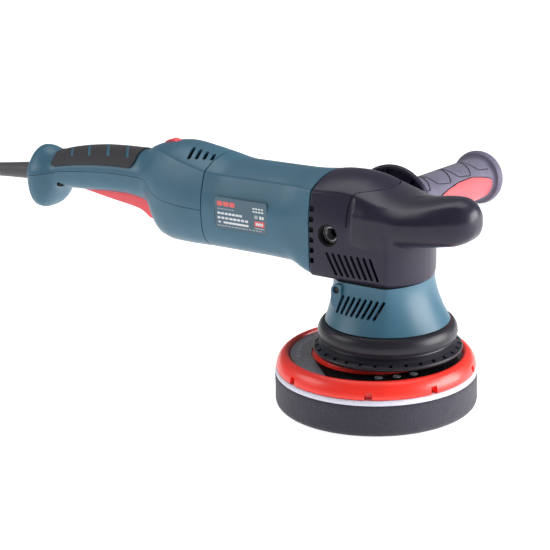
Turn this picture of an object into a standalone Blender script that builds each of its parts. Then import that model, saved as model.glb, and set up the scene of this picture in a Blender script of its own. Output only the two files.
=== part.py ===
"""Corded dual action polisher with a 150 mm orbiting plate.

Lengths below are millimetres and become metres when a mesh is made.
+X points from the rear handle to the palm grip, +Y to the side handle, +Z up.
The origin is on the drive spindle's axis, at the foam pad's working face.
"""
import math

import bpy
import bmesh
from mathutils import Matrix, Vector

MM = 0.001
GAP = 0.3                    # clearance between pieces that rest on each other
WALL = 2.4                   # moulded shells
PARTING_GAP = 0.7            # each half shell stops this far from the parting

# Heights and places that everything else is worked out from
MOTOR_Z = 138.0              # armature axis, also the handle shells' parting height
SEAM_X = -145.0              # motor housing meets the handle shells
HEAD_REAR_X = -45.0          # motor housing meets the head cover
HEAD_BOTTOM_Z = 101.0        # head cover meets the spindle housing
GRIP_FLOOR_Z = 130.0         # palm grip sits above this height
HEAD_HALF = 36.5             # half width of the head
HEAD_ARC_R = 44.0            # rounded front of the head, in plan
HEAD_ARC_X = -6.5
HOUSING_FOOT_Z = 67.0        # spindle housing's round lower end
HOUSING_FOOT_R = 46.5
ECCENTRIC = 10.5             # half of the 21 mm orbit
PAD_X = -ECCENTRIC
PLATE_R = 75.0
RIM_NOTCHES = 8
NOTCH_PHASE = -20.5          # degrees from +X to the first notch
FOAM_R = 76.0
FOAM_H = 23.7
BOSS_X = -28.0               # side handle bosses
BOSS_Z = 135.0
LUG = (-21.5, 94.8)          # screw lugs on the spindle housing
TRIGGER_HINGE = (-284.0, 136.5)
TRIGGER_HALF = 9.2
SPRING_X = -262.0            # the return spring stands on the trigger here
DIAL_AXIS = (-195.5, 171.5)
DIAL_R = 10.6
GEAR_TEETH = 24
PINION_TEETH = 8
CORD_R = 4.0
COIL_CENTRE = (-600.0, 12.0)
COIL_OUTER = 58.0
COIL_INNER = 34.0
COIL_H = 24.0

PARTS = bpy.data.collections.new("dual_action_polisher")
CUTTERS = bpy.data.collections.new("cutters")

FINISHES = {
    "teal": ((0.075, 0.155, 0.215), 0.42, 0.0),
    "black_plastic": ((0.030, 0.029, 0.036), 0.50, 0.0),
    "black_rubber": ((0.028, 0.027, 0.032), 0.70, 0.0),
    "red": ((0.85, 0.035, 0.025), 0.35, 0.0),
    "label": ((0.012, 0.012, 0.014), 0.20, 0.0),
    "plate_label": ((0.010, 0.010, 0.012), 0.15, 0.0),
    "hook": ((0.70, 0.70, 0.80), 0.95, 0.0),
    "foam": ((0.055, 0.053, 0.075), 0.95, 0.0),
    "steel": ((0.60, 0.60, 0.62), 0.30, 1.0),
    "aluminium": ((0.55, 0.56, 0.58), 0.45, 1.0),
    "copper": ((0.72, 0.35, 0.18), 0.35, 1.0),
    "brass": ((0.78, 0.58, 0.26), 0.30, 1.0),
    "carbon": ((0.02, 0.02, 0.02), 0.80, 0.0),
    "board": ((0.02, 0.16, 0.06), 0.50, 0.0),
}


# ---------------------------------------------------------------- helpers

def clear_scene():
    for ob in list(bpy.data.objects):
        bpy.data.objects.remove(ob)


def material(key):
    """The finish's material, made the first time that it is asked for."""
    mat = bpy.data.materials.get(key)
    if mat is None:
        colour, roughness, metallic = FINISHES[key]
        mat = bpy.data.materials.new(key)
        mat.use_nodes = True
        shader = mat.node_tree.nodes["Principled BSDF"]
        shader.inputs["Base Color"].default_value = (*colour, 1.0)
        shader.inputs["Roughness"].default_value = roughness
        shader.inputs["Metallic"].default_value = metallic
    return mat


def link(ob, finish=None):
    """Put a part in the model, or a cutter, which has no finish, out of sight."""
    if finish is None:
        CUTTERS.objects.link(ob)
        ob.hide_render = True
        ob.display_type = "WIRE"
    else:
        PARTS.objects.link(ob)
        own = material(finish).copy()
        own.name = ob.name + "_finish"
        ob.data.materials.append(own)
    return ob


def mesh_object(name, bm, finish=None, smooth=True):
    """An object from a bmesh in millimetres."""
    bmesh.ops.scale(bm, vec=(MM, MM, MM), verts=bm.verts)
    mesh = bpy.data.meshes.new(name)
    bm.to_mesh(mesh)
    bm.free()
    if smooth:
        mesh.shade_smooth()
        mesh.set_sharp_from_angle(angle=math.radians(35))
    return link(bpy.data.objects.new(name, mesh), finish)


def box(name, low, high, finish=None, bevel=0.0):
    """A box between two corners, with its edges rounded."""
    bm = bmesh.new()
    size = Vector(high) - Vector(low)
    centre = (Vector(high) + Vector(low)) / 2
    bmesh.ops.create_cube(bm, size=1.0)
    bmesh.ops.scale(bm, vec=size, verts=bm.verts)
    bmesh.ops.translate(bm, vec=centre, verts=bm.verts)
    ob = mesh_object(name, bm, finish, smooth=False)
    if bevel:
        edge = ob.modifiers.new("rounding", "BEVEL")
        edge.width = bevel * MM
        edge.segments = 2
    return ob


AXIS_TURN = {
    "z": Matrix.Identity(4),
    "x": Matrix.Rotation(math.radians(90), 4, "Y"),
    "y": Matrix.Rotation(math.radians(-90), 4, "X"),
}


def cylinder(name, radius, start, length, axis="z", finish=None, sides=20, end_radius=None):
    """A cylinder or cone from start along an axis."""
    bm = bmesh.new()
    tip = radius if end_radius is None else end_radius
    bmesh.ops.create_cone(bm, cap_ends=True, segments=sides, radius1=radius, radius2=tip, depth=length)
    bmesh.ops.translate(bm, vec=(0, 0, length / 2), verts=bm.verts)
    bmesh.ops.transform(bm, matrix=Matrix.Translation(start) @ AXIS_TURN[axis], verts=bm.verts)
    return mesh_object(name, bm, finish)


def turned(name, profile, centre, finish=None, axis="z", closed=False, steps=24):
    """A profile of (radius, height) turned about an axis through centre.

    An open profile starts and ends on the axis and runs down its outer side.
    """
    mesh = bpy.data.meshes.new(name)
    verts = [(r * MM, 0.0, h * MM) for r, h in profile]
    edges = [(i, i + 1) for i in range(len(verts) - 1)]
    if closed:
        edges.append((len(verts) - 1, 0))
    mesh.from_pydata(verts, edges, [])
    ob = bpy.data.objects.new(name, mesh)
    ob.matrix_world = Matrix.Translation(Vector(centre) * MM) @ AXIS_TURN[axis]
    screw = ob.modifiers.new("turn", "SCREW")
    screw.steps = steps
    screw.render_steps = steps
    screw.use_merge_vertices = True
    screw.merge_threshold = 0.00001
    screw.use_smooth_shade = True
    return link(ob, finish)


def ring_profile(inner, outer, low, high, chamfer=0.0):
    """The closed profile of a plain ring, outer side downwards first."""
    c = chamfer
    if c:
        return [(outer - c, high), (outer, high - c), (outer, low + c), (outer - c, low),
                (inner, low), (inner, high)]
    return [(outer, high), (outer, low), (inner, low), (inner, high)]


def flat_plate(name, outline, low, high, finish=None):
    """A flat outline in plan, filled and given its thickness."""
    curve = bpy.data.curves.new(name, "CURVE")
    curve.dimensions = "2D"
    curve.fill_mode = "BOTH"
    curve.extrude = (high - low) / 2 * MM
    spline = curve.splines.new("POLY")
    spline.points.add(len(outline) - 1)
    for point, (x, y) in zip(spline.points, outline):
        point.co = (x * MM, y * MM, 0.0, 1.0)
    spline.use_cyclic_u = True
    return curve_to_mesh(name, curve, Matrix.Translation((0, 0, (low + high) / 2 * MM)), finish)


def curve_to_mesh(name, curve, matrix, finish):
    """The curve's mesh, with its caps welded on, as an object of its own."""
    guide = bpy.data.objects.new(name + "_guide", curve)
    CUTTERS.objects.link(guide)
    guide.matrix_world = matrix
    bpy.context.view_layer.update()
    depsgraph = bpy.context.evaluated_depsgraph_get()
    mesh = bpy.data.meshes.new_from_object(guide.evaluated_get(depsgraph))
    bpy.data.objects.remove(guide)
    bm = bmesh.new()
    bm.from_mesh(mesh)
    bmesh.ops.remove_doubles(bm, verts=bm.verts, dist=0.000001)
    bmesh.ops.recalc_face_normals(bm, faces=bm.faces)
    bm.to_mesh(mesh)
    bm.free()
    mesh.name = name
    mesh.materials.clear()
    ob = bpy.data.objects.new(name, mesh)
    ob.matrix_world = matrix
    return link(ob, finish)


def tube(name, points, radius, finish, resolution=2, tapered=None):
    """A round tube through points, as a poly curve with a bevel and filled caps."""
    curve = bpy.data.curves.new(name, "CURVE")
    curve.dimensions = "3D"
    curve.bevel_depth = radius * MM
    curve.bevel_resolution = resolution
    curve.use_fill_caps = True
    spline = curve.splines.new("POLY")
    spline.points.add(len(points) - 1)
    for i, point in enumerate(points):
        spline.points[i].co = (*(Vector(point) * MM), 1.0)
        if tapered:
            spline.points[i].radius = tapered[i]
    return link(bpy.data.objects.new(name, curve), finish)


def smooth_path(points, spacing):
    """Points about spacing apart on a Catmull-Rom curve through the given ones."""
    route = [Vector(p) for p in points]
    ends = [2 * route[0] - route[1], *route, 2 * route[-1] - route[-2]]
    out = [route[0]]
    for i in range(1, len(ends) - 2):
        a, b, c, d = ends[i - 1:i + 3]
        count = max(1, round((c - b).length / spacing))
        for k in range(1, count + 1):
            t = k / count
            out.append(0.5 * (2 * b + (c - a) * t + (2 * a - 5 * b + 4 * c - d) * t ** 2
                              + (3 * b - a - 3 * c + d) * t ** 3))
    return out


def loft(name, rings, finish=None, closed=True, capped=True):
    """Faces between unlike rings, each a list of points in millimetres.

    Without caps it is an open surface, whose faces are turned away from the rings' middles.
    """
    bm = bmesh.new()
    rows = [[bm.verts.new(p) for p in ring] for ring in rings]
    count = len(rings[0])
    for row, following in zip(rows, rows[1:]):
        for i in range(count if closed else count - 1):
            j = (i + 1) % count
            bm.faces.new((row[i], row[j], following[j], following[i]))
    if capped:
        bm.faces.new(rows[0])
        bm.faces.new(rows[-1])
        bmesh.ops.recalc_face_normals(bm, faces=bm.faces)
    else:
        face_outwards(bm, rows)
    return mesh_object(name, bm, finish)


def face_outwards(bm, rows):
    """Turn an open surface's faces over if most of them look at the rings' middles."""
    bm.normal_update()
    middles = {}
    for row in rows:
        middle = sum((v.co for v in row), Vector()) / len(row)
        middles.update((v, middle) for v in row)
    outward = sum(f.normal.dot(f.calc_center_median() - middles[f.verts[0]]) for f in bm.faces)
    if outward < 0:
        bmesh.ops.reverse_faces(bm, faces=bm.faces)


def shell(ob, thickness, outwards=False):
    """Give an open surface its thickness."""
    solid = ob.modifiers.new("wall", "SOLIDIFY")
    solid.thickness = thickness * MM
    solid.offset = 1.0 if outwards else -1.0
    solid.use_even_offset = False
    return ob


def boolean(ob, other, operation):
    change = ob.modifiers.new(operation.lower(), "BOOLEAN")
    change.operation = operation
    change.object = other
    return ob


def cut(ob, *others):
    for other in others:
        boolean(ob, other, "DIFFERENCE")
    return ob


def join(ob, *others):
    for other in others:
        boolean(ob, other, "UNION")
    return ob


def keep_inside(ob, other):
    return boolean(ob, other, "INTERSECT")


def set_origin(ob, point):
    """Move the object's origin onto its joint's axis, leaving its shape in place."""
    shift = Vector(point) * MM - ob.matrix_world.translation
    ob.data.transform(Matrix.Translation(-(ob.matrix_world.to_3x3().inverted() @ shift)))
    ob.matrix_world = Matrix.Translation(shift) @ ob.matrix_world
    return ob


# ------------------------------------------------- cross sections of the body

def half_section(half_width, middle_z, top_z, crease_y, crease_z, bottom_z, square=3.0):
    """Points (y, z) from the top centre round one side to the bottom centre.

    The top is a shallow arch to a crease, the side bulges from the crease to its
    widest height, and the underside is a rounded corner, squarer as square rises.
    """
    points = []
    for i in range(3):
        y = crease_y * i / 3
        points.append((y, top_z - (top_z - crease_z) * (y / crease_y) ** 2))
    for i in range(3):
        u = i / 3
        points.append((crease_y + (half_width - crease_y) * math.sin(u * math.pi / 2),
                       crease_z + (middle_z - crease_z) * u))
    for i in range(6):
        a = math.pi / 2 * i / 5
        points.append((half_width * abs(math.cos(a)) ** (2 / square),
                       middle_z - (middle_z - bottom_z) * math.sin(a) ** (2 / square)))
    return points


def full_ring(x, half):
    """A closed ring at x from the points of one half."""
    right = [(x, -y, z) for y, z in half]
    left = [(x, y, z) for y, z in half[-2:0:-1]]
    return right + left


TOP_POINTS = 7               # points of half_section from the top to the parting

# x, half width, parting height, top, crease y, crease z, bottom
MOTOR_SECTION = (35.0, MOTOR_Z, 172.5, 27.0, 166.0, 104.0)
MOTOR_STATIONS = [
    (SEAM_X + GAP, 35.0, MOTOR_Z, 176.0, 27.0, 166.0, 104.0),
    (-127.0, *MOTOR_SECTION),
    (-95.0, *MOTOR_SECTION),
    (-68.0, *MOTOR_SECTION),
    (-56.0, 35.3, MOTOR_Z, 173.3, 29.5, 166.0, 102.6),
    (HEAD_REAR_X - GAP, 36.0, MOTOR_Z, 174.5, 32.5, 165.5, HEAD_BOTTOM_Z),
]
BODY_STATIONS = [
    (SEAM_X, 35.0, 138.0, 176.0, 27.0, 166.5, 104.0),
    (-163.0, 34.8, 138.3, 179.5, 26.0, 168.3, 103.4),
    (-182.0, 33.0, 139.5, 182.0, 24.0, 171.0, 103.2),
    (-194.0, 30.4, 142.5, 179.8, 21.0, 173.5, 104.9),
    (-201.0, 27.5, 145.5, 178.0, 19.0, 174.0, 108.8),
    (-206.5, 24.2, 148.5, 175.5, 15.5, 171.0, 116.5),
    (-212.5, 21.0, 150.5, 171.6, 12.3, 167.5, 125.5),
    (-224.0, 18.5, 151.2, 168.5, 10.0, 165.0, 131.0),
    (-240.0, 17.5, 151.2, 167.8, 9.5, 164.0, 132.7),
    (-262.0, 17.3, 150.2, 166.5, 9.5, 162.5, 132.2),
    (-284.0, 17.3, 148.3, 164.0, 9.5, 160.0, 130.8),
    (-300.0, 17.3, 146.5, 160.8, 9.5, 156.8, 130.2),
    (-310.0, 17.9, 144.8, 158.6, 9.8, 154.8, 128.4),
    (-317.0, 19.6, 143.2, 158.6, 10.5, 154.7, 122.6),
    (-325.0, 21.8, 141.2, 161.0, 11.5, 156.7, 113.4),
    (-332.0, 22.8, 140.2, 162.4, 12.0, 157.5, 109.6),
    (-338.0, 21.8, 139.8, 161.6, 11.7, 156.8, 111.2),
    (-342.5, 18.2, 139.4, 157.0, 10.0, 153.0, 116.6),
    (-345.5, 12.8, 139.0, 150.6, 7.0, 148.1, 124.4),
    (-346.8, 10.3, 138.8, 148.3, 5.6, 146.3, 127.8),
]


def upper_ring(station, lift):
    """The part of a station's ring above the parting, from one side to the other."""
    x = station[0]
    half = half_section(*station[1:])[:TOP_POINTS]
    half[-1] = (half[-1][0], half[-1][1] + lift)
    right = [(x, -y, z) for y, z in reversed(half)]
    left = [(x, y, z) for y, z in half[1:]]
    return right + left


def lower_ring(station, drop):
    """The part of a station's ring below the parting, from one side to the other."""
    x = station[0]
    half = half_section(*station[1:])[TOP_POINTS - 1:]
    half[0] = (half[0][0], half[0][1] - drop)
    right = [(x, -y, z) for y, z in half]
    left = [(x, y, z) for y, z in half[-2::-1]]
    return right + left


# ---------------------------------------------------------------- body shells

def section_at(x):
    """The handle's half section at any x, between two stations."""
    for rear, front in zip(BODY_STATIONS[1:], BODY_STATIONS):
        if rear[0] <= x <= front[0]:
            t = (x - rear[0]) / (front[0] - rear[0])
            return half_section(*[a + (b - a) * t for a, b in zip(rear[1:], front[1:])])
    raise ValueError("x lies outside the handle")


def prisms(name, hulls):
    """One cutter made of several separate convex prisms, each given by its corners."""
    bm = bmesh.new()
    for corners in hulls:
        verts = [bm.verts.new(c) for c in corners]
        made = bmesh.ops.convex_hull(bm, input=verts)
        bmesh.ops.delete(bm, geom=made["geom_interior"], context="VERTS")
    bmesh.ops.recalc_face_normals(bm, faces=bm.faces)
    return mesh_object(name, bm, smooth=False)


def leaning_slot(top, foot, half_width, inner, outer):
    """Corners of a slot through a side wall: top and foot are (x, z) on the wall."""
    return [(x + dx, y, z) for x, z in (top, foot) for dx in (-half_width, half_width)
            for y in (inner, outer)]


def block(low, high):
    return [(x, y, z) for x in (low[0], high[0]) for y in (low[1], high[1]) for z in (low[2], high[2])]


def motor_housing():
    ob = loft("motor_housing", [full_ring(s[0], half_section(*s[1:])) for s in MOTOR_STATIONS],
              "teal", capped=False)
    shell(ob, WALL)
    return cut(ob, box("label_recess", (-129.5, -40.0, 126.8), (-81.0, -33.9, 150.8)))


def rating_label():
    """A plain plate that lies in the motor housing's shallow recess."""
    return box("rating_label", (-129.0, -34.9, 127.3), (-81.5, -33.9 - GAP, 150.3), "label")


SCREW_WELLS = [(-307.0, -12.5), (-307.0, 12.5)]


def handle_upper_shell():
    """The top half of the handle and rear body, with the hump's vents and dial slot."""
    ob = loft("handle_upper_shell", [upper_ring(s, PARTING_GAP) for s in BODY_STATIONS], "teal",
              closed=False, capped=False)
    shell(ob, WALL)
    slots = []
    for side in (-1, 1):
        for i in range(4):
            high = (-168.5 + 6.4 * i, side * 9.0)
            low = (-164.8 + 5.9 * i, side * (21.5 - 1.2 * i))
            slots.append([(x + dx, y, z) for x, y in (high, low) for dx in (-1.2, 1.2)
                          for z in (163.0, 190.0)])
    cut(ob, prisms("hump_vents", slots))
    return cut(ob, box("dial_slot", (-207.0, -4.6, 166.0), (-184.6, 4.6, 190.0)))


def handle_lower_shell():
    """The bottom half of the handle and rear body, with the trigger slot and screw wells."""
    ob = loft("handle_lower_shell", [lower_ring(s, PARTING_GAP) for s in BODY_STATIONS], "teal",
              closed=False, capped=False)
    shell(ob, WALL)
    cut(ob, box("trigger_slot", (-290.5, -9.8, 105.0), (-208.4, 9.8, 142.0)))
    for i, (x, y) in enumerate(SCREW_WELLS):
        join(ob, cylinder(f"screw_boss_{i}", 4.0, (x, y, 131.0), 12.5))
        cut(ob, cylinder(f"screw_well_{i}", 3.3, (x, y, 110.0), 26.0))
        cut(ob, cylinder(f"screw_bore_{i}", 1.9, (x, y, 130.0), 20.0))
    return ob


def handle_screws():
    """The two screws that hold the handle's halves together."""
    for side, (x, y) in zip(("right", "left"), SCREW_WELLS):
        head = cylinder(f"handle_screw_{side}", 3.0, (x, y, 133.4), 2.3, finish="steel", sides=16)
        join(head, cylinder(f"handle_screw_shank_{side}", 1.6, (x, y, 135.0), 9.6, sides=12))


def handle_grip():
    """The soft panel that wraps the top of the handle."""
    places = [-316.5, -310.0, -300.0, -284.0, -262.0, -240.0, -226.0]
    rings = []
    for x in places:
        half = section_at(x)[:TOP_POINTS - 1]
        half[-1] = tuple(a + 0.8 * (b - a) for a, b in zip(half[-2], half[-1]))
        half = [(y * 1.02, z + GAP + 0.05) for y, z in half]
        rings.append([(x, -y, z) for y, z in reversed(half)] + [(x, y, z) for y, z in half[1:]])
    ob = loft("handle_grip", rings, "black_rubber", closed=False, capped=False)
    return shell(ob, 1.4, outwards=True)


# ---------------------------------------------------------------- head

def front_half_width(x, inset=0.0):
    """Half width of the head's plan at x: flat sides, then a round front."""
    forward = max(x - HEAD_ARC_X, 0.0)
    arc = math.sqrt(max((HEAD_ARC_R - inset) ** 2 - forward ** 2, 4.0))
    return min(HEAD_HALF - inset, arc)


# x, top, crease y, crease z along the head, from the motor housing forwards
CROWN_LINE = [
    (HEAD_REAR_X, 174.8, 32.5, 165.5),
    (-35.0, 176.2, 32.0, 165.8),
    (-24.0, 176.6, 31.0, 166.0),
    (-12.0, 175.4, 30.0, 165.3),
    (0.0, 171.2, 29.5, 162.8),
    (9.0, 167.0, 29.0, 160.5),
    (17.0, 164.4, 27.5, 158.7),
]
ARC_ANGLES = [47, 37, 26, 14, 4]


def head_rings(inset, bottom, first_x):
    """Rings along the head, inside its outer face by inset."""
    rings = []
    for x, top, crease_y, crease_z in CROWN_LINE:
        place = first_x if x == HEAD_REAR_X else x
        half = half_section(front_half_width(x, inset), MOTOR_Z, top - inset, crease_y - inset,
                            crease_z - inset, bottom, square=14.0)
        rings.append(full_ring(place, half))
    radius = HEAD_ARC_R - inset
    for angle in ARC_ANGLES:
        x = HEAD_ARC_X + radius * math.cos(math.radians(angle))
        width = front_half_width(x, inset)
        half = half_section(width, MOTOR_Z, 163.5 - inset, width * 0.7, 158.0 - inset, bottom, square=14.0)
        rings.append(full_ring(x, half))
    return rings


def grip_zone(name, clearance):
    """The space that the palm grip fills: in front of the crown's rounded foot."""
    shoulder = [(-12.5, 36.6), (-9.0, 34.6), (-3.0, 31.5), (2.5, 26.5), (6.7, 19.0), (9.2, 10.0)]
    near = [(-12.5, -60.0)] + [(x, -y) for x, y in shoulder]
    far = [(x, y) for x, y in reversed(shoulder)] + [(-12.5, 60.0)]
    outline = near + [(10.0, 0.0)] + far + [(95.0, 60.0), (95.0, -60.0)]
    shifted = [(x + clearance, y) for x, y in outline]
    return flat_plate(name, shifted, GRIP_FLOOR_Z + clearance, 200.0)


def side_slots(name, tops, feet, inner, outer, half_width):
    hulls = []
    for side in (-1, 1):
        for top, foot in zip(tops, feet):
            hulls.append(leaning_slot(top, foot, half_width, side * inner, side * outer))
    return prisms(name, hulls)


def head_cover():
    """The black cover round the gear case: crown, flat sides and round front."""
    ob = loft("head_cover", head_rings(0.0, HEAD_BOTTOM_Z, HEAD_REAR_X + GAP), "black_plastic")
    cut(ob, grip_zone("crown_limit", 0.0))
    cut(ob, loft("cover_hollow", head_rings(2.7, HEAD_BOTTOM_Z - 12.0, HEAD_REAR_X - 4.0)))
    tops = [(-29.0 + 5.15 * i, 121.5) for i in range(8)]
    feet = [(-21.2 + 4.9 * i, 106.7) for i in range(8)]
    cut(ob, side_slots("cover_slots", tops, feet, 30.0, 40.0, 1.15))
    notches = []
    for side in (-1, 1):
        for i in range(6):
            z = 152.9 - 7.74 * i
            low, high = sorted((side * 30.0, side * 40.0))
            notches.append(block((HEAD_REAR_X - 3.0, low, z - 2.0), (HEAD_REAR_X + 4.4, high, z + 2.0)))
    cut(ob, prisms("cover_notches", notches))
    return cut(ob, cylinder("boss_openings", 8.4, (BOSS_X, -50.0, BOSS_Z), 100.0, axis="y"))


# x, half width, widest height, top, crease y, crease z, underside
GRIP_STATIONS = [
    (-20.0, 36.5, 150.0, 176.4, 30.5, 165.8, 120.0),
    (-12.0, 36.5, 150.0, 175.4, 30.0, 165.3, 120.0),
    (0.0, 36.5, 150.0, 171.2, 29.5, 162.8, 120.0),
    (9.0, 36.5, 150.0, 167.0, 29.0, 160.5, 120.0),
    (17.0, 36.5, 150.0, 164.4, 27.5, 158.7, 120.0),
    (27.0, 34.6, 149.0, 163.2, 25.0, 157.5, 128.8),
    (36.0, 31.3, 149.0, 163.8, 22.0, 158.3, 129.4),
    (45.0, 27.8, 149.0, 165.2, 19.0, 160.0, 130.2),
    (54.0, 24.0, 149.2, 166.4, 16.5, 161.6, 131.3),
    (61.5, 19.8, 149.6, 166.4, 13.5, 162.2, 133.4),
    (67.0, 15.5, 150.2, 164.4, 10.5, 161.0, 136.8),
    (71.0, 11.0, 151.0, 161.0, 7.4, 158.6, 141.0),
    (73.8, 6.0, 151.6, 156.8, 4.0, 155.4, 146.4),
]


def palm_grip():
    """The soft cap and forward palm rest on top of the head."""
    rings = [full_ring(s[0], half_section(*s[1:], square=6.0 if s[0] < 20 else 3.2))
             for s in GRIP_STATIONS]
    ob = loft("palm_grip", rings, "black_rubber")
    keep_inside(ob, grip_zone("palm_grip_zone", GAP))
    return cut(ob, loft("grip_hollow", head_rings(3.4, HEAD_BOTTOM_Z - 12.0, HEAD_REAR_X - 4.0)))


GEAR_CASE_R = 25.5


def case_outline(radius, rear_x):
    """Plan of the gear case: a round front and a straight rear."""
    arc = [(radius * math.cos(a), radius * math.sin(a))
           for a in (math.radians(-90 + 15 * i) for i in range(13))]
    return [(rear_x, -radius), *arc, (rear_x, radius)]


def gear_case():
    """The aluminium case that carries both spindle bearings and the front armature bearing."""
    ob = flat_plate("gear_case", case_outline(GEAR_CASE_R, HEAD_REAR_X + 1.0), 103.5, 154.0, "aluminium")
    join(ob, cylinder("case_neck", 22.0, (0, 0, 87.5), 17.0, sides=32))
    join(ob, cylinder("case_bosses", 8.0, (BOSS_X, -31.5, BOSS_Z), 63.0, axis="y"))
    cut(ob, flat_plate("case_hollow", case_outline(22.3, HEAD_REAR_X + 9.0), 107.0, 141.0))
    cut(ob, cylinder("front_bearing_seat", 13.2, (HEAD_REAR_X - 2.0, 0, MOTOR_Z), 11.5, axis="x"))
    cut(ob, cylinder("pinion_way", 9.0, (HEAD_REAR_X + 5.0, 0, MOTOR_Z), 29.0, axis="x"))
    cut(ob, cylinder("upper_bearing_seat", 11.3, (0, 0, 140.0), 11.0))
    cut(ob, cylinder("lower_bearing_seat", 17.3, (0, 0, 86.0), 14.0))
    cut(ob, cylinder("spindle_way", 11.5, (0, 0, 99.0), 9.0))
    return cut(ob, cylinder("boss_bores", 6.3, (BOSS_X, -40.0, BOSS_Z), 80.0, axis="y"))


def boss_inserts():
    """Threaded steel inserts that the side handle screws into, one on each side."""
    for side, start in (("right", -31.2), ("left", 23.2)):
        turned(f"boss_insert_{side}", ring_profile(4.1, 6.0, 0.0, 8.0, 0.5), (BOSS_X, start, BOSS_Z),
               "steel", axis="y", closed=True, steps=20)


def housing_radius(angle, z):
    """Radius of the spindle housing's outer face: D shaped above, round at its foot."""
    side = 34.9 / max(abs(math.sin(angle)), 0.01)
    front_r = HEAD_ARC_R - 1.4
    across = HEAD_ARC_X * math.sin(angle)
    front = HEAD_ARC_X * math.cos(angle) + math.sqrt(front_r ** 2 - across ** 2)
    head = min(side, front, 39.6)
    blend = ((HEAD_BOTTOM_Z - z) / (HEAD_BOTTOM_Z - HOUSING_FOOT_Z)) ** 1.7
    return head + (HOUSING_FOOT_R - head) * blend


def spindle_housing():
    """The flared housing between the head and the skirt, open above and below."""
    rings = []
    for z in (HEAD_BOTTOM_Z - GAP, 87.0, 75.0, HOUSING_FOOT_Z):
        angles = [2 * math.pi * i / 28 for i in range(28)]
        rings.append([(housing_radius(a, z) * math.cos(a), housing_radius(a, z) * math.sin(a), z)
                      for a in angles])
    ob = loft("spindle_housing", list(reversed(rings)), "teal", capped=False)
    shell(ob, WALL)
    x, z = LUG
    for side, start in (("right", -36.8), ("left", 27.8)):
        join(ob, cylinder(f"lug_{side}", 4.4, (x, start, z), 9.0, axis="y", sides=16))
    cut(ob, cylinder("lug_bores", 2.3, (x, -60.0, z), 120.0, axis="y", sides=12))
    tops = [(-16.0 + 4.86 * i, 90.6) for i in range(8)]
    feet = [(-20.4 + 4.7 * i, 78.8) for i in range(8)]
    return cut(ob, side_slots("housing_slots", tops, feet, 26.0, 44.0, 1.2))


def housing_screws():
    """The two screws in the housing's side lugs."""
    x, z = LUG
    for side, start in (("right", -35.6), ("left", 28.4)):
        cylinder(f"housing_screw_{side}", 1.9, (x, start, z), 7.2, axis="y", finish="steel", sides=12)


def skirt():
    """The rubber collar below the housing and the slotted skirt ring under it."""
    collar = [(46.8, 65.6), (50.2, 63.4), (52.0, 58.6), (51.3, 54.2), (48.5, 51.4), (43.2, 51.4),
              (43.2, 65.6)]
    turned("rubber_collar", collar, (0, 0, 0), "black_rubber", closed=True, steps=32)
    ring = [(48.6, 51.1), (50.0, 49.1), (54.4, 47.3), (55.8, 45.4), (53.0, 43.4), (43.2, 43.4),
            (43.2, 51.1)]
    turned("skirt_ring", ring, (0, 0, 0), "black_plastic", closed=True, steps=32)


# ---------------------------------------------------------------- drive

def motor():
    """Stator, armature, bearings, brush gear and fan, all round the motor's axis."""
    def on_axis(name, inner, outer, rear, front, finish, chamfer=0.0, steps=24):
        return turned(name, ring_profile(inner, outer, 0.0, front - rear, chamfer),
                      (rear, 0, MOTOR_Z), finish, axis="x", closed=True, steps=steps)

    on_axis("stator", 20.6, 30.0, -116.0, -76.0, "steel", 1.0)
    on_axis("rear_bearing", 4.3, 9.5, -141.5, -137.5, "steel", 0.0, 20)
    on_axis("front_bearing", 4.3, 12.9, -43.7, -36.6, "steel", 0.0, 20)
    on_axis("armature_core", 4.3, 19.8, -114.0, -78.0, "copper")
    on_axis("commutator", 4.3, 11.0, -134.0, -122.0, "copper")
    cylinder("armature_shaft", 4.0, (-143.0, 0, MOTOR_Z), 120.6, axis="x", finish="steel", sides=16)


def brush_gear():
    """A carrier ring with two box holders, and a carbon brush in each."""
    carrier = turned("brush_carrier", ring_profile(9.8, 31.0, 0.0, 4.0), (-141.5, 0, MOTOR_Z),
                     "black_plastic", axis="x", closed=True, steps=24)
    for side, sign in (("right", -1), ("left", 1)):
        near, far = sorted((sign * 13.5, sign * 29.0))
        holder = box(f"holder_{side}", (-138.5, near, MOTOR_Z - 5.6), (-123.0, far, MOTOR_Z + 5.6))
        join(carrier, holder)
        near, far = sorted((sign * 11.0, sign * 27.0))
        cut(carrier, box(f"holder_way_{side}", (-131.8, near, MOTOR_Z - 3.5),
                         (-124.2, far, MOTOR_Z + 3.5)))
        near, far = sorted((sign * 11.4, sign * 25.0))
        box(f"carbon_brush_{side}", (-131.4, near, MOTOR_Z - 3.1), (-124.6, far, MOTOR_Z + 3.1), "carbon")


def fan_outline(blades, hub, tip):
    """Plan of a straight bladed fan."""
    points = []
    for i in range(blades):
        for r, turn in ((hub, 0.12), (tip, 0.42), (tip, 0.54), (hub, 0.88)):
            a = 2 * math.pi * (i + turn) / blades
            points.append((r * math.cos(a), r * math.sin(a)))
    return points


def cooling_fan():
    ob = flat_plate("cooling_fan", fan_outline(9, 12.0, 28.0), 0.0, 9.0, "black_plastic")
    ob.matrix_world = Matrix.Translation(Vector((-69.0, 0, MOTOR_Z)) * MM) @ AXIS_TURN["x"] @ ob.matrix_world
    return cut(ob, cylinder("fan_bore", 4.3, (-75.0, 0, MOTOR_Z), 20.0, axis="x", sides=16))


def pinion():
    """A bevel pinion whose cone points at the spindle's axis."""
    def ring(x, tip):
        points = []
        for i in range(PINION_TEETH * 4):
            r = tip if i % 4 < 2 else tip * 0.78
            a = 2 * math.pi * i / (PINION_TEETH * 4)
            points.append((x, r * math.cos(a), MOTOR_Z + r * math.sin(a)))
        return points

    ratio = PINION_TEETH / GEAR_TEETH
    return loft("pinion", [ring(-22.0, 22.0 * ratio), ring(-12.0, 12.0 * ratio)], "steel")


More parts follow.
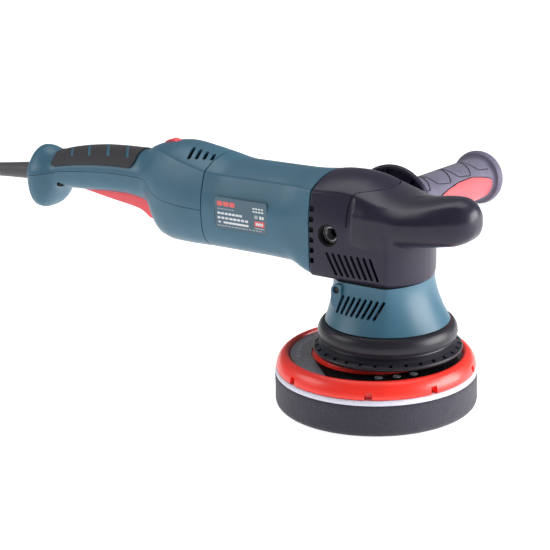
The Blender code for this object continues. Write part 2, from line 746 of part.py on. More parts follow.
def ring_gear():
    """A bevel ring gear whose teeth point up at the pinion and stop just short of it."""
    ratio = PINION_TEETH / GEAR_TEETH
    rings = []
    for r, on_cone in ((8.4, False), (21.5, False), (21.5, True), (12.5, True), (8.4, True)):
        ring = []
        for i in range(GEAR_TEETH * 2):
            a = 2 * math.pi * i / (GEAR_TEETH * 2)
            root = 0.0 if i % 2 or r < 10 else r * 0.07
            z = MOTOR_Z - max(r, 12.5) * ratio - 0.4 - root if on_cone else 122.5
            ring.append((r * math.cos(a), r * math.sin(a), z))
        rings.append(ring)
    bm = bmesh.new()
    rows = [[bm.verts.new(p) for p in ring] for ring in rings]
    for row, following in zip(rows, rows[1:] + rows[:1]):
        for i in range(len(row)):
            j = (i + 1) % len(row)
            bm.faces.new((row[i], row[j], following[j], following[i]))
    bmesh.ops.recalc_face_normals(bm, faces=bm.faces)
    return mesh_object("ring_gear", bm, "steel", smooth=False)


def spindle():
    """The drive spindle with its bearings, counterweight and the offset pad bearings."""
    turned("drive_spindle", [(0, 150.5), (6.0, 150.5), (6.0, 134.2), (8.1, 133.8), (8.1, 104.0), (10.0, 103.6),
                             (10.0, 86.4), (14.0, 86.0), (14.0, 82.5), (0, 82.5)], (0, 0, 0), "steel", steps=24)
    turned("spindle_upper_bearing", ring_profile(6.3, 11.0, 141.5, 150.5), (0, 0, 0), "steel",
           closed=True, steps=20)
    turned("spindle_lower_bearing", ring_profile(10.3, 17.0, 88.5, 99.5), (0, 0, 0), "steel",
           closed=True, steps=20)
    weight_r = 36.0
    sweep = [math.radians(-75 + 15 * i) for i in range(11)]
    arc = [(weight_r * math.cos(a), weight_r * math.sin(a)) for a in sweep]
    back = [(PAD_X - 17.0 * math.cos(a), 17.0 * math.sin(a)) for a in
            (math.radians(80 - 20 * i) for i in range(9))]
    weight = flat_plate("counterweight", arc + back, 70.0, 82.0, "brass")
    join(weight, cylinder("pad_bearing_neck", 17.0, (PAD_X, 0, 52.0), 20.0, sides=32))
    cut(weight, cylinder("pad_bearing_bore", 13.7, (PAD_X, 0, 51.0), 28.5, sides=28))
    for name, low in (("pad_bearing_lower", 53.0), ("pad_bearing_upper", 69.5)):
        turned(name, ring_profile(8.1, 13.4, low, low + 9.0), (PAD_X, 0, 0), "steel",
               closed=True, steps=20)


def pad():
    """Everything that turns about the offset pad axis."""
    turned("pad_spindle", [(7.8, 79.0), (7.8, 46.0), (16.0, 45.6), (16.0, 42.3), (4.2, 42.3), (4.2, 62.0),
                           (2.0, 62.0), (2.0, 79.0)], (PAD_X, 0, 0), "steel", closed=True, steps=24)
    plate = [(48.0, 42.0), (48.0, 37.0), (64.9, 37.0), (65.4, 40.0), (68.2, 39.8), (71.0, 37.9), (73.5, 34.6),
             (PLATE_R, 30.6), (PLATE_R, 28.0), (9.0, 28.0), (9.0, 34.6), (4.5, 34.6), (4.5, 42.0)]
    ob = turned("backing_plate", plate, (PAD_X, 0, 0), "red", closed=True, steps=36)
    notches = []
    for i in range(RIM_NOTCHES):
        turn = Matrix.Rotation(math.radians(NOTCH_PHASE + 360 / RIM_NOTCHES * i), 3, "Z")
        corners = block((71.0, -3.2, 20.0), (80.0, 3.2, 32.8))
        notches.append([turn @ Vector(c) + Vector((PAD_X, 0, 0)) for c in corners])
    cut(ob, prisms("rim_notches", notches))
    turned("plate_label", ring_profile(48.5, 64.4, 37.3, 37.9), (PAD_X, 0, 0), "plate_label",
           closed=True, steps=40)
    turned("plate_bolt", [(0, 60.0), (3.9, 60.0), (3.9, 34.3), (8.0, 34.3), (8.0, 30.0), (0, 30.0)],
           (PAD_X, 0, 0), "steel", steps=20)
    turned("hook_face", [(0, 27.7), (75.6, 27.7), (75.8, 24.0), (0, 24.0)], (PAD_X, 0, 0), "hook", steps=40)
    turned("foam_pad", [(0, FOAM_H), (75.8, FOAM_H), (FOAM_R, 22.8), (FOAM_R, 3.0), (75.2, 1.0), (73.2, 0),
                        (0, 0)], (PAD_X, 0, 0), "foam", steps=40)


# ---------------------------------------------------------------- controls

def trigger():
    """The paddle under the handle, with its hinge pin and return spring."""
    outline = [(-289.0, 133.2), (-286.5, 131.3), (-280.0, 130.2), (-259.0, 126.9), (-236.5, 123.8),
               (-226.0, 121.4), (-219.5, 117.4), (-215.6, 115.5), (-212.2, 116.2), (-211.7, 118.6),
               (-213.6, 124.0), (-217.0, 131.0), (-219.0, 137.0), (-222.0, 139.0), (-282.0, 139.5),
               (-287.5, 138.4)]
    rows = [[(x, y, z) for x, z in outline] for y in (-TRIGGER_HALF, TRIGGER_HALF)]
    ob = loft("trigger", rows, "red")
    x, z = TRIGGER_HINGE
    cut(ob, cylinder("trigger_bore", 1.9, (x, -20.0, z), 40.0, axis="y", sides=16))
    set_origin(ob, (x, 0, z))
    cylinder("trigger_pin", 1.5, (x, -10.5, z), 21.0, axis="y", finish="steel", sides=12)
    turns = 3
    count = 24
    coil = [(SPRING_X + 3.0 * math.cos(2 * math.pi * turns * i / count),
             3.0 * math.sin(2 * math.pi * turns * i / count),
             140.2 + 4.2 * i / count) for i in range(count + 1)]
    tube("trigger_spring", coil, 0.35, "steel", resolution=1)


def switch_block():
    return box("switch_block", (-276.0, -8.5, 146.5), (-238.0, 8.5, 158.0), "black_plastic", 1.0)


def speed_control():
    """The thumbwheel and the board that carries its potentiometer."""
    x, z = DIAL_AXIS
    dial = cylinder("speed_dial", DIAL_R, (x, -3.7, z), 7.4, axis="y", finish="red", sides=32)
    join(dial, cylinder("dial_spindle", 1.6, (x, 3.0, z), 5.2, axis="y", sides=12))
    set_origin(dial, (x, 0, z))
    board = box("speed_control_board", (-212.0, -13.0, 157.5), (-178.0, 13.0, 159.3), "board")
    join(board, box("potentiometer", (x - 5.5, 4.4, 158.0), (x + 5.5, 8.8, 174.4)))
    cut(board, cylinder("potentiometer_bore", 2.0, (x, 3.0, z), 7.6, axis="y", sides=12))


# ---------------------------------------------------------------- side handle

SIDE_LEAN = Matrix.Rotation(math.radians(-2.0), 4, "X")
BADGE_R = 17.6


def lean(ob):
    """Tip a side handle piece down a little, about the middle of its threaded insert."""
    pivot = Matrix.Translation(Vector((BOSS_X, 27.2, BOSS_Z)) * MM)
    ob.matrix_world = pivot @ SIDE_LEAN @ pivot.inverted() @ ob.matrix_world
    return ob


def badge(name, facing):
    """A thin leaf laid on the sleeve, between two points and widest in its middle."""
    rings = []
    for i in range(9):
        t = i / 8
        spread = math.radians(4 + 30 * math.sin(math.pi * t) ** 0.8)
        angles = [facing + spread * (k / 3 - 1) for k in range(7)]
        rings.append([(BOSS_X + BADGE_R * math.cos(a), 96.0 + 80.0 * t, BOSS_Z + BADGE_R * math.sin(a))
                      for a in angles])
    return shell(loft(name, rings, "red", closed=False, capped=False), 0.7, outwards=True)


def side_handle():
    """The screw-in side handle: stud, core with its guard disc, soft sleeve, badges."""
    at = (BOSS_X, 0, BOSS_Z)
    core = [(4.1, 37.3), (10.5, 37.3), (11.5, 48.0), (32.4, 49.0), (34.0, 50.5), (34.0, 52.5), (32.9, 53.5),
            (13.5, 54.2), (13.5, 188.0), (4.1, 188.0)]
    sleeve = [(13.9, 54.6), (16.2, 54.6), (17.2, 62.0), (17.2, 174.0), (18.4, 180.0), (21.6, 184.5),
              (22.8, 188.5), (22.0, 192.0), (18.0, 193.8), (13.9, 193.8)]
    stud = [(0, 62.0), (3.8, 62.0), (3.8, 24.0), (0, 24.0)]
    lean(turned("side_handle_core", list(reversed(core)), at, "black_plastic", axis="y", closed=True,
                steps=24))
    lean(turned("side_handle_sleeve", list(reversed(sleeve)), at, "black_rubber", axis="y", closed=True,
                steps=24))
    lean(turned("side_handle_stud", stud, at, "steel", axis="y", steps=16))
    lean(badge("side_handle_badge_front", 0.0))
    lean(badge("side_handle_badge_rear", math.pi))


# ---------------------------------------------------------------- cord

BOOT_ROOT = Vector((-334.8, 0.0, 139.4))
BOOT_SLOPE = math.radians(5.2)
BOOT_AXIS = Vector((-math.cos(BOOT_SLOPE), 0.0, -math.sin(BOOT_SLOPE)))
BOOT_LENGTH = 70.0


def cord_boot():
    """The tapered sleeve that protects the cord where it leaves the pommel."""
    steps = [(0.0, 9.2), (2.6, 9.2), (3.2, 7.4), (20.0, 7.2), (45.0, 6.2), (BOOT_LENGTH - 1.2, 5.6),
             (BOOT_LENGTH, 4.9)]
    points = [BOOT_ROOT + BOOT_AXIS * along for along, _ in steps]
    widest = steps[0][1]
    return tube("cord_boot", points, widest, "black_rubber", resolution=4,
                tapered=[r / widest for _, r in steps])


def power_cord():
    """The cord from the boot down to the floor and up to the coil's outer side."""
    start = BOOT_ROOT + BOOT_AXIS * (BOOT_LENGTH + GAP)
    line_y = COIL_CENTRE[1] - COIL_OUTER + CORD_R
    route = [tuple(start), (-438.0, -1.0, 129.5), (-462.0, -6.0, 117.0), (-482.0, -14.0, 97.0),
             (-498.0, -23.0, 71.0), (-512.0, -31.0, 43.0), (-527.0, -37.0, 20.0), (-545.0, -41.0, 7.5),
             (-560.0, line_y, 4.1), (-570.2, line_y, 4.05)]
    return tube("power_cord", smooth_path(route, 9.0), CORD_R, "black_rubber", resolution=2)


def coil_and_plug():
    """The coiled length on the floor, the lead out of it, and the plug."""
    x, y = COIL_CENTRE
    turned("cord_coil", ring_profile(COIL_INNER, COIL_OUTER, 0.0, COIL_H, 3.0), (x, y, 0.0),
           "black_rubber", closed=True, steps=32)
    lead_x = x - COIL_OUTER + CORD_R
    lead = [(lead_x, y + 30.0, 19.0), (lead_x, y + 42.0, 16.5), (lead_x, y + 54.0, 13.8),
            (lead_x, y + 64.0, 13.0)]
    tube("plug_lead", smooth_path(lead, 9.0), CORD_R, "black_rubber", resolution=2)
    rear = y + 64.0 + GAP
    sizes = [(0.0, 5.5, 5.5), (8.0, 6.5, 6.5), (16.0, 12.0, 10.5), (24.0, 17.0, 12.5), (44.0, 18.5, 12.8)]
    rings = []
    for along, half_x, half_z in sizes:
        ring = []
        for i in range(20):
            a = 2 * math.pi * i / 20
            ring.append((lead_x + half_x * math.copysign(abs(math.cos(a)) ** 0.7, math.cos(a)), rear + along,
                         13.0 + half_z * math.copysign(abs(math.sin(a)) ** 0.7, math.sin(a))))
        rings.append(ring)
    loft("plug_body", rings, "black_rubber")
    for side, offset in (("right", 9.5), ("left", -9.5)):
        cylinder(f"plug_pin_{side}", 2.4, (lead_x + offset, rear + 44.0 + GAP, 13.0), 19.0, axis="y",
                 finish="brass", sides=16)


def main():
    clear_scene()
    bpy.context.scene.collection.children.link(PARTS)
    bpy.context.scene.collection.children.link(CUTTERS)
    motor_housing()
    rating_label()
    handle_upper_shell()
    handle_lower_shell()
    handle_screws()
    handle_grip()
    head_cover()
    palm_grip()
    gear_case()
    boss_inserts()
    spindle_housing()
    housing_screws()
    skirt()
    motor()
    brush_gear()
    cooling_fan()
    pinion()
    ring_gear()
    spindle()
    pad()
    trigger()
    switch_block()
    speed_control()
    side_handle()
    cord_boot()
    power_cord()
    coil_and_plug()


main()
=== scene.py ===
"""Looks of the corded dual action polisher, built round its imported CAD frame.

Lengths in the helpers and tables are millimetres, in the frame's own axes: +X from the
rear handle to the palm grip, +Y to the side handle, +Z up, with the origin on the drive
spindle's axis at the foam pad's working face. They become metres when a mesh is made.
"""
import math
import random

import bpy
import bmesh
from mathutils import Matrix, Vector


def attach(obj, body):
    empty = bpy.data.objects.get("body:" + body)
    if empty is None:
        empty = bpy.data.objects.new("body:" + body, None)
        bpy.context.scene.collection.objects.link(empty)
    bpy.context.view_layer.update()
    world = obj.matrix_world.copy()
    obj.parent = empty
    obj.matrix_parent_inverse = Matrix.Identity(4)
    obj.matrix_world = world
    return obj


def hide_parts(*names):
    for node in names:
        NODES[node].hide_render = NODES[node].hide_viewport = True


MM = 0.001
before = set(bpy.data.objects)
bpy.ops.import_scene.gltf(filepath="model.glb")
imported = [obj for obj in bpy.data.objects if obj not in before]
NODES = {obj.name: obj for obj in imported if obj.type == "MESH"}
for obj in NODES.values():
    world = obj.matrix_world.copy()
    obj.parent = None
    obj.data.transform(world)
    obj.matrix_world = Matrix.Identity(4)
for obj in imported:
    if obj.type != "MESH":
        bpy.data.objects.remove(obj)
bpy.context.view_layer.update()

# Dimensions shared with the CAD
MOTOR_Z = 138.0
SEAM_X = -145.0
HEAD_REAR_X = -45.0
HEAD_BOTTOM_Z = 101.0
GRIP_FLOOR_Z = 130.0
HEAD_HALF = 36.5
HOUSING_FOOT_Z = 67.0
HOUSING_FOOT_R = 46.5
PAD_X = -10.5
FOAM_H = 23.7
BOSS_X = -28.0
BOSS_Z = 135.0
LUG = (-21.5, 94.8)
TRIGGER_HALF = 9.2
DIAL_AXIS = (-195.5, 171.5)
DIAL_R = 10.6
CORD_R = 4.0
COIL_CENTRE = (-600.0, 12.0)
BOOT_ROOT = Vector((-334.8, 0.0, 139.4))
BOOT_SLOPE = math.radians(5.2)
BOOT_AXIS = Vector((-math.cos(BOOT_SLOPE), 0.0, -math.sin(BOOT_SLOPE)))
BOOT_LENGTH = 70.0

# Dimensions that differ from the CAD, to follow the real outlines more closely
HEAD_ARC_R = 50.0            # rounded front of the head in plan, flatter and further back
HEAD_ARC_X = -15.9
WHEEL_R = DIAL_R - 0.2       # visible thumb wheel
SLEEVE_OUTWARDS = 1.8        # side handle's sleeve and badges, along the handle


# ---------------------------------------------------------------- camera

def aim_camera():
    """A long lens above and in front of the tool's right side, turned a little about its axis."""
    azimuth, pitch, roll = math.radians(35.6), math.radians(17.3), math.radians(-1.55)
    distance = 1208.4
    left_of_origin, above_origin = 85.3, 95.3
    back = Vector((math.sin(azimuth) * math.cos(pitch), -math.cos(azimuth) * math.cos(pitch),
                   math.sin(pitch)))
    level = Vector((math.cos(azimuth), math.sin(azimuth), 0.0))
    upright = back.cross(level)
    right = math.cos(roll) * level + math.sin(roll) * upright
    up = math.cos(roll) * upright - math.sin(roll) * level
    place = back * distance - right * left_of_origin + up * above_origin
    data = bpy.data.cameras.new("camera")
    data.sensor_width = 36.0
    data.lens = 104.7
    data.clip_end = 20.0
    camera = bpy.data.objects.new("camera", data)
    camera.matrix_world = Matrix((
        (right.x, up.x, back.x, place.x * MM),
        (right.y, up.y, back.y, place.y * MM),
        (right.z, up.z, back.z, place.z * MM),
        (0.0, 0.0, 0.0, 1.0)))
    bpy.context.scene.collection.objects.link(camera)
    bpy.context.scene.camera = camera


# ---------------------------------------------------------------- materials

class Nodes:
    """A short way to build a material's nodes."""

    def __init__(self, name):
        self.material = bpy.data.materials.new(name)
        self.material.use_nodes = True
        self.tree = self.material.node_tree
        self.shader = self.tree.nodes["Principled BSDF"]
        self.place = self.tree.nodes.new("ShaderNodeTexCoord").outputs["Object"]

    def add(self, kind, inputs, **settings):
        node = self.tree.nodes.new("ShaderNode" + kind)
        for key, value in settings.items():
            setattr(node, key, value)
        for key, value in inputs.items():
            if isinstance(value, bpy.types.NodeSocket):
                self.tree.links.new(value, node.inputs[key])
            else:
                node.inputs[key].default_value = value
        return node

    def noise(self, size_mm, detail=3.0, rough=0.55, stretch=None):
        """Noise whose lumps are about size_mm across, drawn out along an axis by stretch."""
        where = self.place
        if stretch:
            where = self.add("Mapping", {"Vector": where, "Scale": stretch}).outputs[0]
        scale = 1.0 / (size_mm * MM)
        return self.add("TexNoise", {"Vector": where, "Scale": scale, "Detail": detail,
                                     "Roughness": rough}).outputs["Fac"]

    def blend(self, factor, low, high):
        """A colour between two, by a factor."""
        ramp = self.add("ValToRGB", {"Fac": factor})
        ramp.color_ramp.elements[0].position = 0.32
        ramp.color_ramp.elements[1].position = 0.68
        ramp.color_ramp.elements[0].color = (*low, 1.0)
        ramp.color_ramp.elements[1].color = (*high, 1.0)
        return ramp.outputs["Color"]

    def spread(self, factor, low, high):
        """A number between two, by a factor."""
        return self.add("MapRange", {"Value": factor, "From Min": 0.3, "From Max": 0.7, "To Min": low,
                                     "To Max": high}).outputs["Result"]

    def bump(self, height, depth_mm, strength=1.0, under=None):
        inputs = {"Height": height, "Distance": depth_mm * MM, "Strength": strength}
        if under:
            inputs["Normal"] = under
        return self.add("Bump", inputs).outputs["Normal"]

    def set(self, **inputs):
        """Set or link the shader's own sockets, by their names with underscores for spaces."""
        for key, value in inputs.items():
            socket = self.shader.inputs[key.replace("_", " ")]
            if isinstance(value, bpy.types.NodeSocket):
                self.tree.links.new(value, socket)
            else:
                socket.default_value = value
        return self.material


def moulded(name, colour, roughness, grain=0.55, depth=0.02, vary=0.10, specular=0.5, coat=0.0):
    """Injection moulded plastic: spark eroded grain, faint mottling and uneven gloss."""
    n = Nodes(name)
    low = tuple(c * (1 - vary) for c in colour)
    high = tuple(min(1.0, c * (1 + vary)) for c in colour)
    cloud = n.noise(28.0, 4.0)
    fine = n.noise(grain, 2.0, 0.6)
    wide = n.noise(7.0, 2.0)
    soft = n.bump(wide, depth * 2.0, 0.35)
    return n.set(Base_Color=n.blend(cloud, low, high),
                 Roughness=n.spread(fine, roughness - 0.06, roughness + 0.08),
                 Normal=n.bump(fine, depth, 0.8, soft), Specular_IOR_Level=specular, Coat_Weight=coat,
                 Coat_Roughness=0.15)


def rubber(name, colour, roughness, grain=0.4, depth=0.03, sheen=0.15):
    """Soft-touch overmoulding: fine dense grain and a dusty edge."""
    n = Nodes(name)
    low = tuple(c * 0.86 for c in colour)
    high = tuple(c * 1.14 for c in colour)
    fine = n.noise(grain, 3.0, 0.7)
    return n.set(Base_Color=n.blend(n.noise(12.0, 5.0, 0.65), low, high),
                 Roughness=n.spread(fine, roughness - 0.07, roughness + 0.07),
                 Normal=n.bump(fine, depth, 0.9), Sheen_Weight=sheen, Sheen_Roughness=0.5,
                 Specular_IOR_Level=0.34)


def foam_material():
    """Open-cell foam: small round pores over a cloudy dark grey."""
    n = Nodes("foam_cells")
    cells = n.add("TexVoronoi", {"Vector": n.place, "Scale": 1150.0}, feature="SMOOTH_F1")
    pores = n.add("TexVoronoi", {"Vector": n.place, "Scale": 620.0}, feature="F1")
    cloud = n.noise(3.0, 5.0, 0.7)
    mixed = n.add("Math", {0: cells.outputs["Distance"], 1: pores.outputs["Distance"]}, operation="MULTIPLY")
    tint = n.add("Math", {0: mixed.outputs[0], 1: cloud}, operation="ADD")
    colour = n.blend(tint.outputs[0], (0.015, 0.014, 0.022), (0.038, 0.035, 0.052))
    lumps = n.bump(cloud, 0.25, 0.6)
    return n.set(Base_Color=colour, Roughness=0.95, Normal=n.bump(mixed.outputs[0], 0.35, 1.0, lumps),
                 Sheen_Weight=0.25, Sheen_Roughness=0.6, Specular_IOR_Level=0.2)


def hook_material():
    """Woven hook fabric: a tight grid of loops with a soft edge."""
    n = Nodes("hook_weave")
    cells = n.add("TexVoronoi", {"Vector": n.place, "Scale": 1500.0}, feature="F1")
    fine = n.noise(0.5, 3.0, 0.7)
    return n.set(Base_Color=n.blend(fine, (0.66, 0.65, 0.78), (0.88, 0.87, 0.98)), Roughness=0.9,
                 Normal=n.bump(cells.outputs["Distance"], 0.3, 0.9), Sheen_Weight=0.4, Sheen_Roughness=0.4)


def metal(name, colour, roughness, stretch=(1.0, 1.0, 14.0), size=0.6):
    """Machined or cast metal, with tool marks drawn out along the surface."""
    n = Nodes(name)
    marks = n.noise(size, 3.0, 0.6, stretch)
    low = tuple(c * 0.8 for c in colour)
    return n.set(Base_Color=n.blend(n.noise(6.0, 4.0), low, colour), Metallic=1.0,
                 Roughness=n.spread(marks, roughness - 0.08, roughness + 0.12),
                 Normal=n.bump(marks, 0.01, 0.6))


def banded(name, colour, dark, metallic, roughness, pitch_mm, axis="X"):
    """Stacked laminations or wound wire, in fine bands along an axis."""
    n = Nodes(name)
    bands = n.add("TexWave", {"Vector": n.place, "Scale": 0.314 / (pitch_mm * MM), "Distortion": 0.4,
                              "Detail": 1.0}, wave_type="BANDS", bands_direction=axis, wave_profile="SIN")
    return n.set(Base_Color=n.blend(bands.outputs["Fac"], dark, colour), Metallic=metallic,
                 Roughness=n.spread(n.noise(2.0), roughness - 0.06, roughness + 0.1),
                 Normal=n.bump(bands.outputs["Fac"], 0.12, 0.8))


def printed(name, colour, roughness=0.22, coat=0.3):
    """Printed film: glossy ink with a faint orange-peel."""
    n = Nodes(name)
    low = tuple(c * 0.9 for c in colour)
    peel = n.noise(1.6, 2.0)
    return n.set(Base_Color=n.blend(n.noise(9.0), low, colour),
                 Roughness=n.spread(peel, roughness, roughness + 0.1),
                 Normal=n.bump(peel, 0.01, 0.5), Coat_Weight=coat, Coat_Roughness=0.08)


def board_material():
    n = Nodes("board_traces")
    traces = n.add("TexBrick", {"Vector": n.place, "Scale": 260.0, "Color1": (0.01, 0.10, 0.04, 1.0),
                                "Color2": (0.02, 0.15, 0.06, 1.0), "Mortar": (0.25, 0.30, 0.12, 1.0)})
    return n.set(Base_Color=traces.outputs["Color"], Roughness=n.spread(n.noise(2.0), 0.35, 0.5))


def make_materials():
    """Every finish that the pieces and the kept CAD nodes wear, by a short name."""
    teal = (0.043, 0.130, 0.193)
    return {
        "teal": moulded("teal_moulding", teal, 0.38, grain=0.5, depth=0.018, vary=0.06, specular=0.42),
        "teal_dark": moulded("teal_label_ground", (0.062, 0.124, 0.170), 0.30, vary=0.05),
        "black": moulded("black_moulding", (0.0175, 0.0140, 0.0330), 0.35, grain=0.6, depth=0.02, vary=0.10,
                         specular=0.32),
        "screw": moulded("screw_black_oxide", (0.010, 0.010, 0.012), 0.45, vary=0.2, specular=0.3),
        # The near-black dark finish is the real colour of the hidden inner parts. Where it lines the seams,
        # the screw wells and the socket bezels, it is painted shade.
        "dark": moulded("dark_inner_and_shade_moulding", (0.006, 0.006, 0.007), 0.7, vary=0.2, specular=0.2),
        "soft": rubber("soft_touch", (0.0165, 0.0135, 0.0310), 0.32, sheen=0.04),
        "panel": rubber("grip_panel_rubber", (0.026, 0.025, 0.031), 0.62, grain=0.6, depth=0.05, sheen=0.10),
        "sleeve": rubber("sleeve_rubber", (0.122, 0.111, 0.168), 0.60, grain=0.55, depth=0.04, sheen=0.1),
        "groove": rubber("groove_shadow", (0.012, 0.011, 0.014), 0.8, sheen=0.0),
        "collar": rubber("collar_rubber", (0.0135, 0.0120, 0.0195), 0.36, grain=0.5, depth=0.02, sheen=0.04),
        "cord": rubber("cord_sheath", (0.055, 0.052, 0.060), 0.5, grain=0.7, depth=0.02),
        "red": moulded("red_moulding", (0.95, 0.030, 0.017), 0.34, grain=0.8, depth=0.012, vary=0.05,
                       coat=0.15),
        "pink": moulded("badge_red", (0.78, 0.082, 0.100), 0.42, grain=0.7, depth=0.015, vary=0.05),
        "film": printed("film_black", (0.010, 0.010, 0.012), 0.12, 0.5),
        # Grey ground for the pad plate film: a painted reflection of the bright surroundings on the glossy
        # film.
        "grey": printed("film_grey_painted_reflection", (0.190, 0.180, 0.205), 0.25),
        "ink": printed("ink_light", (0.72, 0.76, 0.80), 0.3),
        "ink_grey": printed("ink_grey", (0.40, 0.42, 0.46), 0.3),
        "ink_red": printed("ink_red", (0.80, 0.10, 0.10), 0.3),
        "foam": foam_material(),
        "hook": hook_material(),
        "steel": metal("machined_steel_marks", (0.62, 0.62, 0.64), 0.28),
        "cast": metal("cast_aluminium_skin", (0.50, 0.51, 0.53), 0.5, (1.0, 1.0, 1.0), 0.9),
        "zinc": metal("zinc_plate", (0.26, 0.26, 0.28), 0.38, (1.0, 1.0, 1.0), 0.8),
        "laminated": banded("laminated_core", (0.50, 0.50, 0.52), (0.20, 0.20, 0.21), 0.9, 0.45, 0.9),
        "copper": banded("copper_turns", (0.75, 0.36, 0.18), (0.30, 0.12, 0.05), 0.9, 0.35, 1.1),
        "brass": metal("brass_turned", (0.80, 0.60, 0.28), 0.28),
        "weight": metal("weight_blackened", (0.085, 0.082, 0.080), 0.5, (1.0, 1.0, 1.0), 0.8),
        "carbon": metal("carbon_block", (0.035, 0.035, 0.037), 0.6, (1.0, 1.0, 1.0), 0.4),
        "board": board_material(),
    }


MAT = make_materials()


# ---------------------------------------------------------------- mesh helpers

def link(ob):
    bpy.context.scene.collection.objects.link(ob)
    return ob


def smooth(ob, angle=35.0):
    ob.data.shade_smooth()
    ob.data.set_sharp_from_angle(angle=math.radians(angle))
    return ob


def mesh_object(name, bm, finish=None, angle=35.0):
    """An object from a bmesh in millimetres."""
    bmesh.ops.scale(bm, vec=(MM, MM, MM), verts=bm.verts)
    mesh = bpy.data.meshes.new(name)
    bm.to_mesh(mesh)
    bm.free()
    ob = link(bpy.data.objects.new(name, mesh))
    if finish:
        mesh.materials.append(MAT[finish])
    return smooth(ob, angle)


def bake(ob, angle=35.0):
    """Apply the object's modifiers."""
    depsgraph = bpy.context.evaluated_depsgraph_get()
    mesh = bpy.data.meshes.new_from_object(ob.evaluated_get(depsgraph))
    ob.modifiers.clear()
    ob.data = mesh
    return smooth(ob, angle)


def combine(ob, cutter, operation="DIFFERENCE", keep=False, angle=35.0):
    """An exact boolean with another object, which is then removed unless it is kept."""
    change = ob.modifiers.new("combine", "BOOLEAN")
    change.operation = operation
    change.solver = "EXACT"
    change.object = cutter
    bpy.context.view_layer.update()
    bake(ob, angle)
    if not keep:
        bpy.data.objects.remove(cutter)
    return ob


def repaint(ob, finish):
    """Give the whole piece one finish, after cuts that brought in others."""
    ob.data.materials.clear()
    ob.data.materials.append(MAT[finish])


def copy_of(ob, name):
    twin = ob.copy()
    twin.data = ob.data.copy()
    twin.name = name
    return link(twin)


def add_prism(bm, outline, axis, low, high, index=0):
    """A closed prism: outline is (x, y), (x, z) or (y, z), drawn out along the third axis."""
    def point(a, b, depth):
        return {"z": (a, b, depth), "y": (a, depth, b), "x": (depth, a, b)}[axis]

    rows = [[bm.verts.new(point(a, b, depth)) for a, b in outline] for depth in (low, high)]
    count = len(outline)
    faces = [bm.faces.new(rows[0]), bm.faces.new(rows[1])]
    for i in range(count):
        j = (i + 1) % count
        faces.append(bm.faces.new((rows[0][i], rows[0][j], rows[1][j], rows[1][i])))
    bmesh.ops.recalc_face_normals(bm, faces=faces)
    for face in faces:
        face.material_index = index
    return [v for row in rows for v in row]


def prisms(name, outlines, axis, low, high, finish=None):
    bm = bmesh.new()
    for outline in outlines:
        add_prism(bm, outline, axis, low, high)
    return mesh_object(name, bm, finish)


def slot_outline(a, b, half_width, count=5):
    """A slot with round ends, between two centres."""
    heading = math.atan2(b[1] - a[1], b[0] - a[0])
    points = []
    for centre, start in ((b, heading - math.pi / 2), (a, heading + math.pi / 2)):
        for i in range(count + 1):
            turn = start + math.pi * i / count
            points.append((centre[0] + half_width * math.cos(turn), centre[1] + half_width * math.sin(turn)))
    return points


def round_outline(low, high, radius, count=4):
    """A rectangle with rounded corners, between two corners."""
    centres = [(high[0] - radius, high[1] - radius), (low[0] + radius, high[1] - radius),
               (low[0] + radius, low[1] + radius), (high[0] - radius, low[1] + radius)]
    points = []
    for k, centre in enumerate(centres):
        for i in range(count + 1):
            turn = math.pi / 2 * (k + i / count)
            points.append((centre[0] + radius * math.cos(turn), centre[1] + radius * math.sin(turn)))
    return points


def circle(centre, radius, count=24):
    return [(centre[0] + radius * math.cos(2 * math.pi * i / count),
             centre[1] + radius * math.sin(2 * math.pi * i / count)) for i in range(count)]


def loft(name, rings, finish=None, closed=True, capped=True, angle=35.0):
    """Faces between unlike rings of points; an open surface is turned to face outwards."""
    bm = bmesh.new()
    rows = [[bm.verts.new(p) for p in ring] for ring in rings]
    count = len(rings[0])
    for row, following in zip(rows, rows[1:]):
        for i in range(count if closed else count - 1):
            j = (i + 1) % count
            bm.faces.new((row[i], row[j], following[j], following[i]))
    if capped:
        bm.faces.new(rows[0])
        bm.faces.new(rows[-1])
        bmesh.ops.recalc_face_normals(bm, faces=bm.faces)
    else:
        face_outwards(bm, rows)
    return mesh_object(name, bm, finish, angle)


def face_outwards(bm, rows):
    """Turn an open surface's faces over if most of them look at the rings' middles."""
    bm.normal_update()
    middles = {}
    for row in rows:
        middle = sum((v.co for v in row), Vector()) / len(row)
        middles.update((v, middle) for v in row)
    outward = sum(f.normal.dot(f.calc_center_median() - middles[f.verts[0]]) for f in bm.faces)
    if outward < 0:
        bmesh.ops.reverse_faces(bm, faces=bm.faces)


def shell(ob, thickness, outwards=False):
    """Give an open surface its thickness."""
    solid = ob.modifiers.new("wall", "SOLIDIFY")
    solid.thickness = thickness * MM
    solid.offset = 1.0 if outwards else -1.0
    solid.use_even_offset = False
    return bake(ob)


AXIS_TURN = {
    "z": Matrix.Identity(3),
    "x": Matrix.Rotation(math.radians(90), 3, "Y"),
    "y": Matrix.Rotation(math.radians(-90), 3, "X"),
}


def soften(profile, radius, count=3):
    """A closed profile with each corner rounded off."""
    points = []
    total = len(profile)
    for i in range(total):
        corner = Vector(profile[i])
        before, after = Vector(profile[i - 1]) - corner, Vector(profile[(i + 1) % total]) - corner
        reach_in, reach_out = min(radius, before.length * 0.45), min(radius, after.length * 0.45)
        start, end = corner + before.normalized() * reach_in, corner + after.normalized() * reach_out
        for k in range(count + 1):
            t = k / count
            points.append(tuple((1 - t) ** 2 * start + 2 * t * (1 - t) * corner + t ** 2 * end))
    return points


